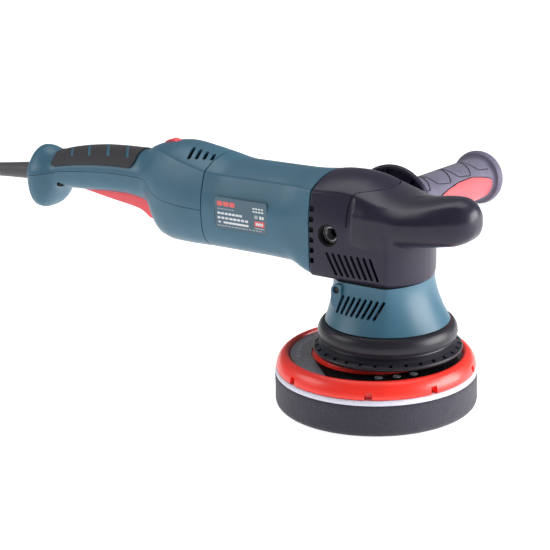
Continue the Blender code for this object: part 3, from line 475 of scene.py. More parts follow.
def turned(name, profile, centre, finish=None, axis="z", steps=96, angle=35.0, shape=None):
    """A closed profile of (radius, height) turned about an axis; shape may move each point."""
    rows = []
    for r, h in profile:
        row = []
        for i in range(steps):
            a = 2 * math.pi * i / steps
            radius, height = shape(r, h, a) if shape else (r, h)
            row.append(Vector(centre) + AXIS_TURN[axis] @ Vector((radius * math.cos(a), radius * math.sin(a),
                                                                  height)))
        rows.append(row)
    bm = bmesh.new()
    rings = [[bm.verts.new(p) for p in row] for row in rows]
    for ring, following in zip(rings, rings[1:] + rings[:1]):
        for i in range(steps):
            j = (i + 1) % steps
            bm.faces.new((ring[i], ring[j], following[j], following[i]))
    bmesh.ops.remove_doubles(bm, verts=bm.verts, dist=0.0001)
    bmesh.ops.recalc_face_normals(bm, faces=bm.faces)
    return mesh_object(name, bm, finish, angle)


def smooth_path(points, spacing):
    """Points about spacing apart on a Catmull-Rom curve through the given ones."""
    route = [Vector(p) for p in points]
    ends = [2 * route[0] - route[1], *route, 2 * route[-1] - route[-2]]
    out = [route[0]]
    for i in range(1, len(ends) - 2):
        a, b, c, d = ends[i - 1:i + 3]
        count = max(1, round((c - b).length / spacing))
        for k in range(1, count + 1):
            t = k / count
            out.append(0.5 * (2 * b + (c - a) * t + (2 * a - 5 * b + 4 * c - d) * t ** 2
                              + (3 * b - a - 3 * c + d) * t ** 3))
    return out


def tube(name, points, radius, finish, resolution=4, tapered=None):
    """A round tube through points in millimetres, as a poly curve."""
    curve = bpy.data.curves.new(name, "CURVE")
    curve.dimensions = "3D"
    curve.bevel_depth = radius * MM
    curve.bevel_resolution = resolution
    curve.use_fill_caps = True
    spline = curve.splines.new("POLY")
    spline.points.add(len(points) - 1)
    for i, point in enumerate(points):
        spline.points[i].co = (*(Vector(point) * MM), 1.0)
        if tapered:
            spline.points[i].radius = tapered[i]
    spline.use_smooth = True
    curve.materials.append(MAT[finish])
    return link(bpy.data.objects.new(name, curve))


def place(ob, body, slot, *nodes):
    """Let a piece ride on a body and hide the nodes it stands for; the slot argument is not used."""
    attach(ob, body)
    if nodes:
        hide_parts(*nodes)
    return ob


# ---------------------------------------------------------------- cross sections

def slopes(xs, ys):
    """Slopes at each point that keep a curve through them from overshooting."""
    steps = [(b - a) / (q - p) for a, b, p, q in zip(ys, ys[1:], xs, xs[1:])]
    inner = [0.0 if a * b <= 0 else 2 * a * b / (a + b) for a, b in zip(steps, steps[1:])]
    return [steps[0], *inner, steps[-1]]


def resample(table, places):
    """Rows of a table at other places along x, on smooth curves through its own rows."""
    table = sorted(table)
    xs = [row[0] for row in table]
    columns = list(zip(*table))[1:]
    tangents = [slopes(xs, column) for column in columns]
    rows = []
    for x in places:
        k = max([0] + [i for i in range(len(xs) - 1) if xs[i] <= x])
        width = xs[k + 1] - xs[k]
        t = (x - xs[k]) / width
        blend = (2 * t ** 3 - 3 * t ** 2 + 1, t ** 3 - 2 * t ** 2 + t, 3 * t ** 2 - 2 * t ** 3,
                 t ** 3 - t ** 2)
        rows.append((x, *[blend[0] * c[k] + blend[1] * width * m[k]
                          + blend[2] * c[k + 1] + blend[3] * width * m[k + 1]
                          for c, m in zip(columns, tangents)]))
    return rows


def steps_between(low, high, spacing):
    count = max(1, round(abs(high - low) / spacing))
    return [low + (high - low) * i / count for i in range(count + 1)]


ARCH, FILLET, SIDE, UNDER = 9, 5, 12, 22
TOP_POINTS = ARCH + FILLET + SIDE + 1


def half_section(half_width, middle_z, top_z, crease_y, crease_z, bottom_z, square=3.0, rounding=1.6):
    """Points (y, z) from the top centre round one side to the bottom centre.

    The crease between the arched top and the side is rounded a little.
    """
    def arch(y):
        return (y, top_z - (top_z - crease_z) * (y / crease_y) ** 2)

    def side(u):
        return (crease_y + (half_width - crease_y) * math.sin(u * math.pi / 2),
                crease_z + (middle_z - crease_z) * u)

    reach = min(rounding, crease_y * 0.3)
    arch_end = crease_y - reach
    side_start = min(0.35, reach / max(crease_z - middle_z, 0.1))
    start, corner, end = Vector(arch(arch_end)), Vector((crease_y, crease_z)), Vector(side(side_start))
    points = [arch(arch_end * i / ARCH) for i in range(ARCH)]
    for i in range(FILLET):
        t = i / FILLET
        points.append(tuple((1 - t) ** 2 * start + 2 * t * (1 - t) * corner + t ** 2 * end))
    points += [side(side_start + (1 - side_start) * i / SIDE) for i in range(SIDE)]
    for i in range(UNDER + 1):
        a = math.pi / 2 * i / UNDER
        points.append((half_width * abs(math.cos(a)) ** (2 / square),
                       middle_z - (middle_z - bottom_z) * math.sin(a) ** (2 / square)))
    return points


def full_ring(x, half):
    right = [(x, -y, z) for y, z in half]
    left = [(x, y, z) for y, z in half[-2:0:-1]]
    return right + left


def upper_ring(station, lift):
    """The part of a station's ring above the parting, from one side to the other."""
    half = half_section(*station[1:])[:TOP_POINTS]
    half[-1] = (half[-1][0], half[-1][1] + lift)
    return [(station[0], -y, z) for y, z in reversed(half)] + [(station[0], y, z) for y, z in half[1:]]


def lower_ring(station, drop):
    """The part of a station's ring below the parting, from one side to the other."""
    half = half_section(*station[1:])[TOP_POINTS - 1:]
    half[0] = (half[0][0], half[0][1] - drop)
    return [(station[0], -y, z) for y, z in half] + [(station[0], y, z) for y, z in half[-2::-1]]


# x, half width, parting height, top, crease y, crease z, bottom
MOTOR_SECTION = (35.0, MOTOR_Z, 172.5, 27.0, 166.0, 104.0)
MOTOR_STATIONS = [
    (SEAM_X + 0.55, 35.0, MOTOR_Z, 176.0, 28.5, 166.6, 104.0),
    (-127.0, *MOTOR_SECTION),
    (-95.0, *MOTOR_SECTION),
    (-74.0, 35.0, MOTOR_Z, 172.5, 27.0, 166.0, 103.4),
    (-64.0, 35.1, MOTOR_Z, 172.7, 28.0, 166.0, 102.6),
    (-56.0, 35.4, MOTOR_Z, 173.3, 29.8, 166.0, 101.8),
    (HEAD_REAR_X - 0.35, 36.0, MOTOR_Z, 174.5, 32.5, 165.5, HEAD_BOTTOM_Z),
]
BODY_STATIONS = [
    (SEAM_X - 0.25, 35.0, 138.0, 176.0, 29.0, 167.0, 104.0),
    (-163.0, 34.8, 138.3, 179.5, 27.5, 170.2, 103.4),
    (-182.0, 33.0, 139.5, 182.0, 24.6, 174.2, 103.2),
    (-194.0, 30.4, 142.5, 180.6, 20.6, 176.2, 104.9),
    (-201.0, 27.5, 145.5, 179.1, 18.2, 176.0, 108.8),
    (-206.5, 24.2, 148.5, 177.4, 14.6, 175.0, 116.5),
    (-212.5, 21.0, 150.5, 175.2, 11.4, 172.6, 125.5),
    (-217.0, 19.4, 151.0, 172.6, 10.2, 169.6, 129.2),
    (-221.0, 18.8, 151.2, 170.6, 10.0, 167.2, 130.4),
    (-228.0, 18.3, 151.2, 169.8, 9.8, 166.2, 131.6),
    (-240.0, 17.5, 151.2, 169.6, 9.5, 165.8, 132.7),
    (-262.0, 17.3, 150.2, 168.6, 9.5, 164.6, 132.2),
    (-284.0, 17.3, 148.3, 166.0, 9.5, 162.0, 130.8),
    (-300.0, 17.3, 146.5, 163.0, 9.5, 159.0, 130.2),
    (-309.0, 17.3, 145.0, 160.8, 9.6, 157.0, 130.0),
    (-315.0, 17.9, 143.6, 159.2, 9.9, 155.2, 128.6),
    (-319.5, 19.4, 142.6, 159.2, 10.4, 155.2, 123.2),
    (-323.0, 20.8, 141.9, 160.2, 11.0, 156.0, 117.4),
    (-327.0, 22.0, 141.1, 161.5, 11.6, 157.0, 112.6),
    (-331.5, 22.7, 140.3, 162.4, 12.0, 157.5, 109.9),
    (-336.0, 22.1, 139.9, 162.2, 11.8, 157.3, 110.2),
    (-340.6, 19.4, 139.6, 159.6, 10.6, 155.2, 114.2),
    (-343.6, 15.4, 139.2, 154.8, 8.6, 151.6, 120.4),
    (-345.2, 11.6, 138.9, 149.8, 6.6, 147.4, 126.0),
    (-346.0, 8.2, 138.6, 146.6, 4.4, 144.9, 130.6),
]
WALL = 2.4


def body_places():
    """Places along the handle and rear body, closer together where the pommel curls in."""
    return (steps_between(SEAM_X - 0.25, -310.0, 2.0) + steps_between(-311.5, -338.0, 1.5)
            + steps_between(-339.0, -346.0, 0.5))


# ---------------------------------------------------------------- body shells

def label_outline(margin):
    return round_outline((-131.5 - margin, 126.3 - margin), (-82.7 + margin, 151.1 + margin), 2.2)


def squareness(x):
    """The barrel's underside squares up as it nears the head cover."""
    t = min(1.0, max(0.0, (x + 72.0) / 27.0))
    return 3.0 + 7.0 * t * t


def motor_shell():
    stations = resample(MOTOR_STATIONS, steps_between(SEAM_X + 0.55, HEAD_REAR_X - 0.35, 2.0))
    ob = loft("barrel", [full_ring(s[0], half_section(*s[1:], square=squareness(s[0]))) for s in stations],
              "teal",
              capped=False)
    shell(ob, WALL)
    combine(ob, prisms("recess", [label_outline(0.0)], "y", -40.0, -33.9))
    place(ob, "root", "teal_plastic", "motor_housing")


def printed_label():
    """The rating plate: a dark film with generic bars instead of its words."""
    name = "rating_film"
    bm = bmesh.new()
    add_prism(bm, round_outline((-131.35, 126.45), (-82.85, 150.95), 2.05), "y", -34.7, -33.95)
    inks = ["teal_dark", "ink", "ink_red", "ink_grey"]
    marks = [(2, -127.0, 144.2, 17.5, 3.6, 3), (3, -126.8, 141.6, 16.0, 0.7, 6),
             (1, -127.0, 137.6, 24.0, 1.7, 7), (1, -127.0, 134.1, 29.5, 1.7, 8),
             (1, -121.5, 130.8, 23.5, 1.6, 1), (1, -126.4, 131.0, 2.6, 1.2, 1),
             (3, -127.0, 128.5, 42.0, 0.8, 13), (1, -94.0, 145.2, 10.2, 1.2, 4),
             (1, -94.0, 142.9, 10.2, 1.2, 4), (3, -92.4, 138.2, 3.0, 2.6, 1), (1, -88.0, 138.2, 4.6, 2.4, 2),
             (2, -92.4, 132.2, 9.0, 4.2, 1), (1, -91.3, 133.2, 6.8, 2.0, 4), (3, -92.4, 130.4, 9.0, 0.8, 1)]
    words = random.Random(4)
    for ink, x, z, width, height, count in marks:
        depth = 0.06 if (ink, count) != (1, 4) or z > 140 else 0.09
        cursor = x - 1.9
        for _ in range(count):
            share = width / count
            gap = 0.0 if count == 1 else share * (0.12 + 0.16 * words.random())
            outline = round_outline((cursor, z), (cursor + share - gap, z + height),
                                    min(0.3, height * 0.3), 2)
            add_prism(bm, outline, "y", -34.7 - depth, -34.68, ink)
            cursor += share
    ob = mesh_object(name, bm)
    for ink in inks:
        ob.data.materials.append(MAT[ink])
    place(ob, "root", "label_film", "rating_label")


def hump_vents():
    """Cutters for the slanted vents on both sides of the hump."""
    outlines = []
    for side in (-1, 1):
        for i in range(4):
            high = Vector((-168.5 + 6.4 * i, side * 9.6))
            low = Vector((-164.8 + 5.9 * i, side * (21.6 - 2.0 * i)))
            outlines.append(slot_outline(high, low, 1.6, 3))
    return outlines


SCREW_WELLS = [(-309.0, -12.2), (-309.0, 12.2)]


def rear_body():
    """The two half shells of the handle and rear body, with vents, dial slot, wells and trigger slot."""
    stations = resample(BODY_STATIONS, body_places())
    upper = loft("rear_body_upper", [upper_ring(s, 0.12) for s in stations], "teal", closed=False,
                 capped=False)
    shell(upper, WALL)
    combine(upper, prisms("vents", hump_vents(), "z", 163.0, 190.0))
    combine(upper, prisms("dial_slot", [round_outline((-207.4, -4.6), (-187.6, 4.6), 1.2)], "z", 166.0,
                          190.0))
    combine(upper, prisms("rib_line", [slot_outline((-149.6, side * 16.6), (-142.0, side * 2.0), 0.3, 2)
                                       for side in (-1, 1)], "z", 174.0, 174.5))
    place(upper, "root", "teal_plastic", "handle_upper_shell")

    lower = loft("rear_body_lower", [lower_ring(s, 0.25) for s in stations], "teal", closed=False,
                 capped=False)
    shell(lower, WALL)
    combine(lower, prisms("trigger_slot", [round_outline((-290.5, -9.8), (-208.4, 9.8), 2.0)], "z", 105.0,
                          142.0))
    combine(lower, prisms("wells", [circle(c, 3.7) for c in SCREW_WELLS], "z", 100.0, 137.0))
    place(lower, "root", "teal_plastic", "handle_lower_shell")

    # The well floors are black plastic drawn in the near-black dark finish: painted shade deep in the screw
    # wells.
    bm = bmesh.new()
    for centre in SCREW_WELLS:
        add_prism(bm, circle(centre, 5.0), "z", 128.0, 143.0)
    floors = mesh_object("well_floors", bm, "dark")
    combine(floors, prisms("well_hollows", [circle(c, 3.5) for c in SCREW_WELLS], "z", 120.0, 139.0))
    inner = [(s[0], s[1] - 0.15, s[2], s[3] - 4.0, s[4] - 1.0, s[5] - 4.0, s[6] + 0.15)
             for s in resample(BODY_STATIONS, steps_between(-298.0, -320.0, 2.0))]
    combine(floors, loft("inner_space", [full_ring(s[0], half_section(*s[1:])) for s in inner]), "INTERSECT")
    place(floors, "root", "black_plastic")

    # The lips are teal plastic drawn in the near-black dark finish: painted shade inside the parting seam.
    lips = []
    for side in (-1, 1):
        rows = []
        for s in resample(BODY_STATIONS, steps_between(SEAM_X - 2.0, -345.0, 4.0)):
            y, z = side * (s[1] - 0.9), s[2]
            rows.append([(s[0], y, z - 2.2), (s[0], y, z + 2.2), (s[0], y - side * 1.2, z + 2.2),
                         (s[0], y - side * 1.2, z - 2.2)])
        lips.append(loft(f"parting_lip_{'right' if side < 0 else 'left'}", rows, "dark"))
    for lip in lips:
        place(lip, "root", "teal_plastic")


def ring_lip(name, rear, front, station):
    """A near-black tongue inside the seam between two shells, as painted shade in the seam."""
    rings = []
    for x in (rear, front):
        half = half_section(*station)
        rings.append(full_ring(x, [(y * 0.955, MOTOR_Z + (z - MOTOR_Z) * 0.955) for y, z in half]))
    ob = shell(loft(name, rings, "dark", capped=False), 1.0)
    place(ob, "root", "black_plastic")


def grip_ring(station, extent):
    """The panel's arc over the handle at one place, shortened by extent."""
    half = half_section(*station[1:])[:TOP_POINTS]
    last = ARCH + FILLET + round(SIDE * 0.62)
    half = half[:last + 1]
    cut_at = extent * last
    k = min(int(cut_at), last - 1)
    t = cut_at - k
    edge = tuple(a + t * (b - a) for a, b in zip(half[k], half[k + 1]))
    scaled = [half[0]]
    for i in range(1, last + 1):
        s = cut_at * i / last
        k = min(int(s), last - 1)
        t = s - k
        scaled.append(tuple(a + t * (b - a) for a, b in zip(half[k], half[k + 1])))
    scaled[-1] = edge
    lifted = [(y * 1.02, z + 0.25) for y, z in scaled]
    return [(station[0], -y, z) for y, z in reversed(lifted)] + [(station[0], y, z) for y, z in lifted[1:]]


def grip_panel():
    """The soft panel that wraps the handle, with four teal ribs showing through it."""
    rear, front, corner = -316.5, -226.0, 7.0
    places = ([rear + d for d in (0.0, 0.4, 1.0, 1.8, 2.8, 4.0, 5.4, 7.0)]
              + steps_between(rear + 9.0, front - 9.0, 2.5)
              + [front - d for d in (7.0, 5.4, 4.0, 2.8, 1.8, 1.0, 0.4, 0.0)])
    rings = []
    for station in resample(BODY_STATIONS, places):
        inside = min(station[0] - rear, front - station[0], corner)
        lost = corner - math.sqrt(max(corner ** 2 - (corner - inside) ** 2, 0.0))
        rings.append(grip_ring(station, 1.0 - lost / 24.0))
    ob = loft("grip_panel", rings, "panel", closed=False, capped=False)
    shell(ob, 1.0, outwards=True)
    bevel = ob.modifiers.new("rounding", "BEVEL")
    bevel.width = 0.5 * MM
    bevel.segments = 2
    bevel.limit_method = "ANGLE"
    bevel.angle_limit = math.radians(50)
    bake(ob)
    outlines = []
    for x in (-304.0, -285.0, -264.5, -244.0):
        outlines.append([(x + 6.8, -12.4), (x - 1.6, 0.0), (x + 6.8, 12.4), (x + 10.2, 12.4), (x + 1.6, 0.0),
                         (x + 10.2, -12.4)])
    ribs = copy_of(ob, "panel_ribs")
    repaint(ribs, "teal")
    combine(ribs, prisms("rib_zones", outlines, "z", 130.0, 190.0), "INTERSECT")
    combine(ob, prisms("rib_slots", outlines, "z", 130.0, 190.0))
    for v in ribs.data.vertices:
        v.co.z -= 0.35 * MM
        v.co.y *= 0.985
    place(ob, "root", "soft_black", "handle_grip")
    place(ribs, "root", "teal_plastic")


# ---------------------------------------------------------------- head

def plan_half_width(x, inset=0.0, rounding=0.6):
    """Half width of the head's plan at x: sides that draw in a little, a corner, then a round front."""
    forward = max(x - HEAD_ARC_X, 0.0)
    arc = math.sqrt(max((HEAD_ARC_R - inset) ** 2 - forward ** 2, 1.0))
    taper = min(1.0, max(0.0, (x + 22.0) / 42.0))
    side = HEAD_HALF - inset - 1.7 * taper * taper * (3 - 2 * taper)
    if x <= 0:
        return min(side, arc)
    return -math.log(math.exp(-side / rounding) + math.exp(-arc / rounding)) * rounding


# x, top, crease y, crease z along the head, from the motor housing forwards
CROWN_LINE = [
    (HEAD_REAR_X + 0.35, 174.8, 32.5, 165.5),
    (-35.0, 176.2, 32.0, 165.8),
    (-24.0, 176.6, 31.0, 166.0),
    (-12.0, 175.4, 30.0, 165.3),
    (0.0, 171.2, 29.5, 162.8),
    (9.0, 167.0, 29.0, 160.5),
    (17.0, 164.4, 27.5, 158.7),
]


def head_rings(inset, bottom, first_x, fine):
    """Rings along the head, inside its outer face by inset."""
    first = CROWN_LINE[0][0]
    rings = []
    for x, top, crease_y, crease_z in resample(CROWN_LINE, steps_between(first, 17.0, 2.0 if fine else 8.0)):
        half = half_section(plan_half_width(x, inset), MOTOR_Z, top - inset, crease_y - inset,
                            crease_z - inset,
                            bottom, square=14.0)
        rings.append(full_ring(first_x if x == first else x, half))
    radius = HEAD_ARC_R - inset
    for angle in range(48, 2, -1 if fine else -6):
        x = HEAD_ARC_X + radius * math.cos(math.radians(angle))
        width = plan_half_width(x, inset)
        half = half_section(width, MOTOR_Z, 163.5 - inset, width * 0.7, 158.0 - inset, bottom, square=14.0)
        if x > 17.6:
            rings.append(full_ring(x, half))
    return rings


GRIP_STATIONS = [
    (-20.0, 36.5, 150.0, 176.4, 30.5, 165.8, 120.0),
    (-12.0, 36.5, 150.0, 175.4, 30.0, 165.3, 120.0),
    (0.0, 36.5, 150.0, 171.2, 29.5, 162.8, 120.0),
    (9.0, 35.6, 150.0, 167.0, 29.0, 160.5, 120.0),
    (17.0, 35.0, 150.0, 164.4, 27.0, 158.7, 121.0),
    (27.0, 33.6, 149.0, 163.2, 25.0, 157.5, 128.2),
    (36.0, 30.9, 149.0, 163.8, 22.0, 158.3, 129.4),
    (45.0, 27.8, 149.0, 165.2, 19.0, 160.0, 130.2),
    (54.0, 24.0, 149.2, 166.4, 16.5, 161.6, 131.3),
    (61.5, 20.4, 149.6, 166.6, 13.8, 162.4, 132.4),
    (67.5, 16.6, 150.0, 164.8, 11.0, 161.2, 134.8),
    (71.4, 12.9, 150.4, 162.2, 8.4, 159.4, 137.6),
    (73.6, 9.7, 150.6, 159.8, 6.3, 157.8, 140.4),
    (74.9, 6.8, 150.7, 157.4, 4.4, 155.9, 143.2),
    (75.7, 3.6, 150.8, 154.6, 2.3, 153.7, 146.8),
]


def grip_outline(shift):
    """Plan of the palm grip's space: everything in front of the crown's rounded foot."""
    shoulder = [(-12.5, 36.6), (-12.3, 33.5), (-11.0, 30.0), (-8.0, 26.0), (-2.6, 21.4), (3.0, 14.6),
                (5.6, 7.6)]
    dense = smooth_path([(x, y, 0.0) for x, y in shoulder + [(6.2, 0.0)]], 1.0)
    near = [(-12.5, -60.0)] + [(p.x, -p.y) for p in dense]
    far = [(p.x, p.y) for p in reversed(dense[:-1])] + [(-12.5, 60.0)]
    return [(x + shift, y) for x, y in near + far + [(95.0, 60.0), (95.0, -60.0)]]


def head_block():
    """Crown, sides, front and beak as one fair shape, with every inner corner filled softly."""
    head = loft("head_block", head_rings(0.0, HEAD_BOTTOM_Z, CROWN_LINE[0][0], True))
    beak_rows = resample(GRIP_STATIONS, steps_between(-8.0, 62.0, 2.0) + steps_between(63.0, 75.7, 0.65))
    beak = loft("beak", [full_ring(s[0], half_section(*s[1:], square=6.0 if s[0] < 18 else 3.2))
                         for s in beak_rows])
    combine(head, beak, "UNION")
    grid = head.modifiers.new("grid", "REMESH")
    grid.mode = "VOXEL"
    grid.voxel_size = 0.8 * MM
    relax = head.modifiers.new("relax", "SMOOTH")
    relax.iterations = 3
    relax.factor = 0.5
    return bake(head, 60.0)


SEAM_HALF_WIDTH = 0.42         # groove between the head cover and the palm rest


def head_cover_and_palm_rest():
    """The hard cover and the palm rest, split along the crown's foot."""
    head = head_block()
    hollow = loft("hollow", head_rings(3.2, HEAD_BOTTOM_Z - 12.0, HEAD_REAR_X - 4.0, False))
    combine(head, hollow, angle=50.0)
    foot = prisms("foot_trim", [[(-60.0, -60.0), (60.0, -60.0), (60.0, 60.0), (-60.0, 60.0)]], "z", 80.0,
                  HEAD_BOTTOM_Z)
    combine(head, foot, angle=50.0)
    bm = bmesh.new()
    add_prism(bm, grip_outline(0.0), "z", GRIP_FLOOR_Z, 144.0)
    zone = mesh_object("zone", bm)
    upper_near = prisms("zone_upper", [grip_outline(0.0)], "z", 143.0, 200.0)
    combine(zone, upper_near, "UNION")
    palm = copy_of(head, "palm_rest")
    combine(palm, zone, "INTERSECT", keep=True, angle=50.0)
    combine(head, zone, angle=50.0)
    head.name = "crown_cover"

    ridge = [p for p in grip_outline(0.0) if p[0] < 50.0]
    rear = [(x - SEAM_HALF_WIDTH, y) for x, y in ridge]
    front = [(x + SEAM_HALF_WIDTH, y) for x, y in reversed(ridge)]
    trench = prisms("trench", [rear + front], "z", 143.0, 200.0)
    core = loft("trench_core", head_rings(1.3, HEAD_BOTTOM_Z - 12.0, HEAD_REAR_X - 4.0, True))
    combine(trench, core)
    combine(head, trench, keep=True, angle=50.0)
    combine(palm, trench, angle=50.0)

    tops = [(-29.0 + 5.15 * i, 121.5) for i in range(8)]
    feet = [(-21.2 + 4.9 * i, 106.7) for i in range(8)]
    slots = [slot_outline(t, f, 1.12) for t, f in zip(tops, feet)]
    notches = [round_outline((HEAD_REAR_X - 3.0, 152.9 - 7.74 * i - 2.0),
                             (HEAD_REAR_X + 4.6, 152.9 - 7.74 * i + 2.0),
                             1.0) for i in range(6)]
    boss = [circle((BOSS_X, BOSS_Z), 8.4, 40)]
    for low, high in ((-45.0, -28.0), (28.0, 45.0)):
        combine(head, prisms("side_cuts", slots + notches + boss, "y", low, high), angle=50.0)
    for piece, finish in ((head, "black"), (palm, "soft")):
        repaint(piece, finish)
    place(head, "root", "black_plastic", "head_cover")
    place(palm, "root", "soft_black", "palm_grip")


BEZEL_FACE = 36.2


def boss_details():
    """A stepped bezel round each side handle socket, and the threaded insert inside it."""
    for side, sign in (("right", -1), ("left", 1)):
        bezel = [(8.3, 0.0), (8.3, -4.0), (6.6, -4.0), (6.6, -1.6), (7.2, -0.4)]
        rows = [(r, sign * (BEZEL_FACE + h)) for r, h in bezel]
        # The bezel is black plastic drawn in the darker dark finish: painted shade in the socket recess.
        ob = turned(f"socket_bezel_{side}", rows, (BOSS_X, 0.0, BOSS_Z), "dark", axis="y", steps=48)
        place(ob, "root", "black_plastic")
        thread = [(6.0, 31.2), (5.6, 31.6), (4.6, 31.6), (4.1, 31.0)]
        inner = [(4.1 + (0.35 if i % 2 else 0.0), 31.0 - 0.5 * i) for i in range(1, 14)]
        rows = [(r, sign * h) for r, h in thread + inner + [(4.1, 23.4), (6.0, 23.4)]]
        ob = turned(f"threaded_insert_{side}", rows, (BOSS_X, 0.0, BOSS_Z), "zinc", axis="y", steps=40)
        place(ob, "root", "machined_steel", f"boss_insert_{side}")


def housing_radius(angle, z):
    """Radius of the spindle housing's outer face: D shaped above, round at its foot."""
    side = 34.3 / max(abs(math.sin(angle)), 0.01)
    front_r = HEAD_ARC_R - 1.2
    across = HEAD_ARC_X * math.sin(angle)
    front = HEAD_ARC_X * math.cos(angle) + math.sqrt(front_r ** 2 - across ** 2)
    soft = 0.8
    nearest = min(side, front, 39.6)
    head = nearest - soft * math.log(sum(math.exp(-(r - nearest) / soft) for r in (side, front, 39.6)))
    blend = ((HEAD_BOTTOM_Z - z) / (HEAD_BOTTOM_Z - HOUSING_FOOT_Z)) ** 1.7
    return head + (HOUSING_FOOT_R - head) * blend


COUNTERWEIGHT_SWEEP = 36.0     # its reach from the spindle's axis, between z 70 and 82


def bell_housing():
    """The spindle housing, relieved inside to clear the counterweight, with lugs and vent slots."""
    rings = []
    for z in steps_between(HOUSING_FOOT_Z, HEAD_BOTTOM_Z - 0.4, 1.6):
        angles = [2 * math.pi * i / 144 for i in range(144)]
        rings.append([(housing_radius(a, z) * math.cos(a), housing_radius(a, z) * math.sin(a),
                       z) for a in angles])
    ob = loft("bell_housing", rings, "teal", capped=False)
    shell(ob, WALL)
    x, z = LUG
    ear = [(x + 4.4, z + 4.4), (x + 1.0, z + 4.4), (x - 2.0, z + 3.6), (x - 3.7, z + 2.2), (x - 4.3, z),
           (x - 4.4, z - 9.5), (x - 3.2, z - 12.5), (x + 4.4, z - 15.0)]
    for sign in (-1, 1):
        low, high = sorted((sign * 31.5, sign * 36.6))
        combine(ob, prisms("ear", [ear], "y", low, high), "UNION")
        combine(ob, prisms("ear_bore", [circle(LUG, 2.7)], "y", low - 2.0, high + 2.0))
    relief = circle((0.0, 0.0), COUNTERWEIGHT_SWEEP + 0.6, 96)
    combine(ob, prisms("weight_relief", [relief], "z", 69.0, 82.6))
    tops = [(-16.0 + 4.86 * i, 90.6) for i in range(8)]
    feet = [(-20.4 + 4.7 * i, 78.8) for i in range(8)]
    slots = [slot_outline(t, f, 1.2) for t, f in zip(tops, feet)]
    for low, high in ((-50.0, -24.0), (24.0, 50.0)):
        combine(ob, prisms("slots", slots, "y", low, high))
    place(ob, "root", "teal_plastic", "spindle_housing")
    # A near-black tongue in the seam between the head cover and the housing: painted shade in the seam.
    seam = shell(loft("housing_tongue", [[(r * math.cos(a), r * math.sin(a), z) for a, r in
                                          ((a, housing_radius(a, 99.0) - 1.5) for a in angles)]
                                         for z in (97.0, 104.0)], "dark", capped=False), 1.0)
    place(seam, "root", "black_plastic")


def skirt():
    """The rolled rubber collar and the slotted skirt ring below it."""
    collar = [(46.7, 66.3), (48.2, 66.2), (49.6, 65.2), (51.0, 63.2), (51.9, 60.6), (52.2, 58.2),
              (51.9, 56.0), (51.0, 54.3), (49.6, 53.2), (48.9, 52.7), (49.4, 52.0), (49.0, 51.3),
              (47.0, 51.2), (43.2, 51.2), (43.2, 66.3)]
    place(turned("collar_roll", soften(collar, 0.5, 2), (0, 0, 0), "collar", steps=144), "root",
          "soft_black",
          "rubber_collar")
    ring = [(48.4, 51.2), (49.2, 50.4), (50.2, 49.6), (51.2, 48.7), (54.2, 47.5), (55.4, 46.9), (55.9, 45.8),
            (55.2, 44.4), (53.0, 43.4), (51.0, 43.4), (43.2, 43.4), (43.2, 51.2)]
    ob = turned("vent_skirt", soften(ring, 0.5, 2), (0, 0, 0), "collar", steps=144)
    bm = bmesh.new()
    for i in range(30):
        turn = Matrix.Rotation(2 * math.pi * (i + 0.3) / 30, 4, "Z")
        verts = add_prism(bm, round_outline((51.2, -1.3), (54.7, 1.3), 0.9, 3), "z", 45.2, 52.0)
        bmesh.ops.transform(bm, matrix=turn, verts=verts)
    combine(ob, mesh_object("skirt_slots", bm))
    place(ob, "root", "black_plastic", "skirt_ring")


def housing_screw_heads():
    """Cross-recessed screw heads, deep in the lugs."""
    x, z = LUG
    for side, sign in (("right", -1), ("left", 1)):
        near, far = sorted((sign * 30.6, sign * 32.8))
        ob = prisms(f"lug_screw_{side}", [circle(LUG, 3.1, 24)], "y", near, far)
        cross = [round_outline((x - 1.5, z - 0.3), (x + 1.5, z + 0.3), 0.1, 1),
                 round_outline((x - 0.3, z - 1.5), (x + 0.3, z + 1.5), 0.1, 1)]
        for bar in cross:
            low, high = sorted((sign * 32.2, sign * 33.4))
            combine(ob, prisms("cross", [bar], "y", low, high))
        repaint(ob, "screw")
        place(ob, "root", "machined_steel")


# ---------------------------------------------------------------- pad

NOTCH_ANGLES = (-162.2, -112.8, -62.5, -24.3, 15.2, 60.9, 106.5, 152.1)


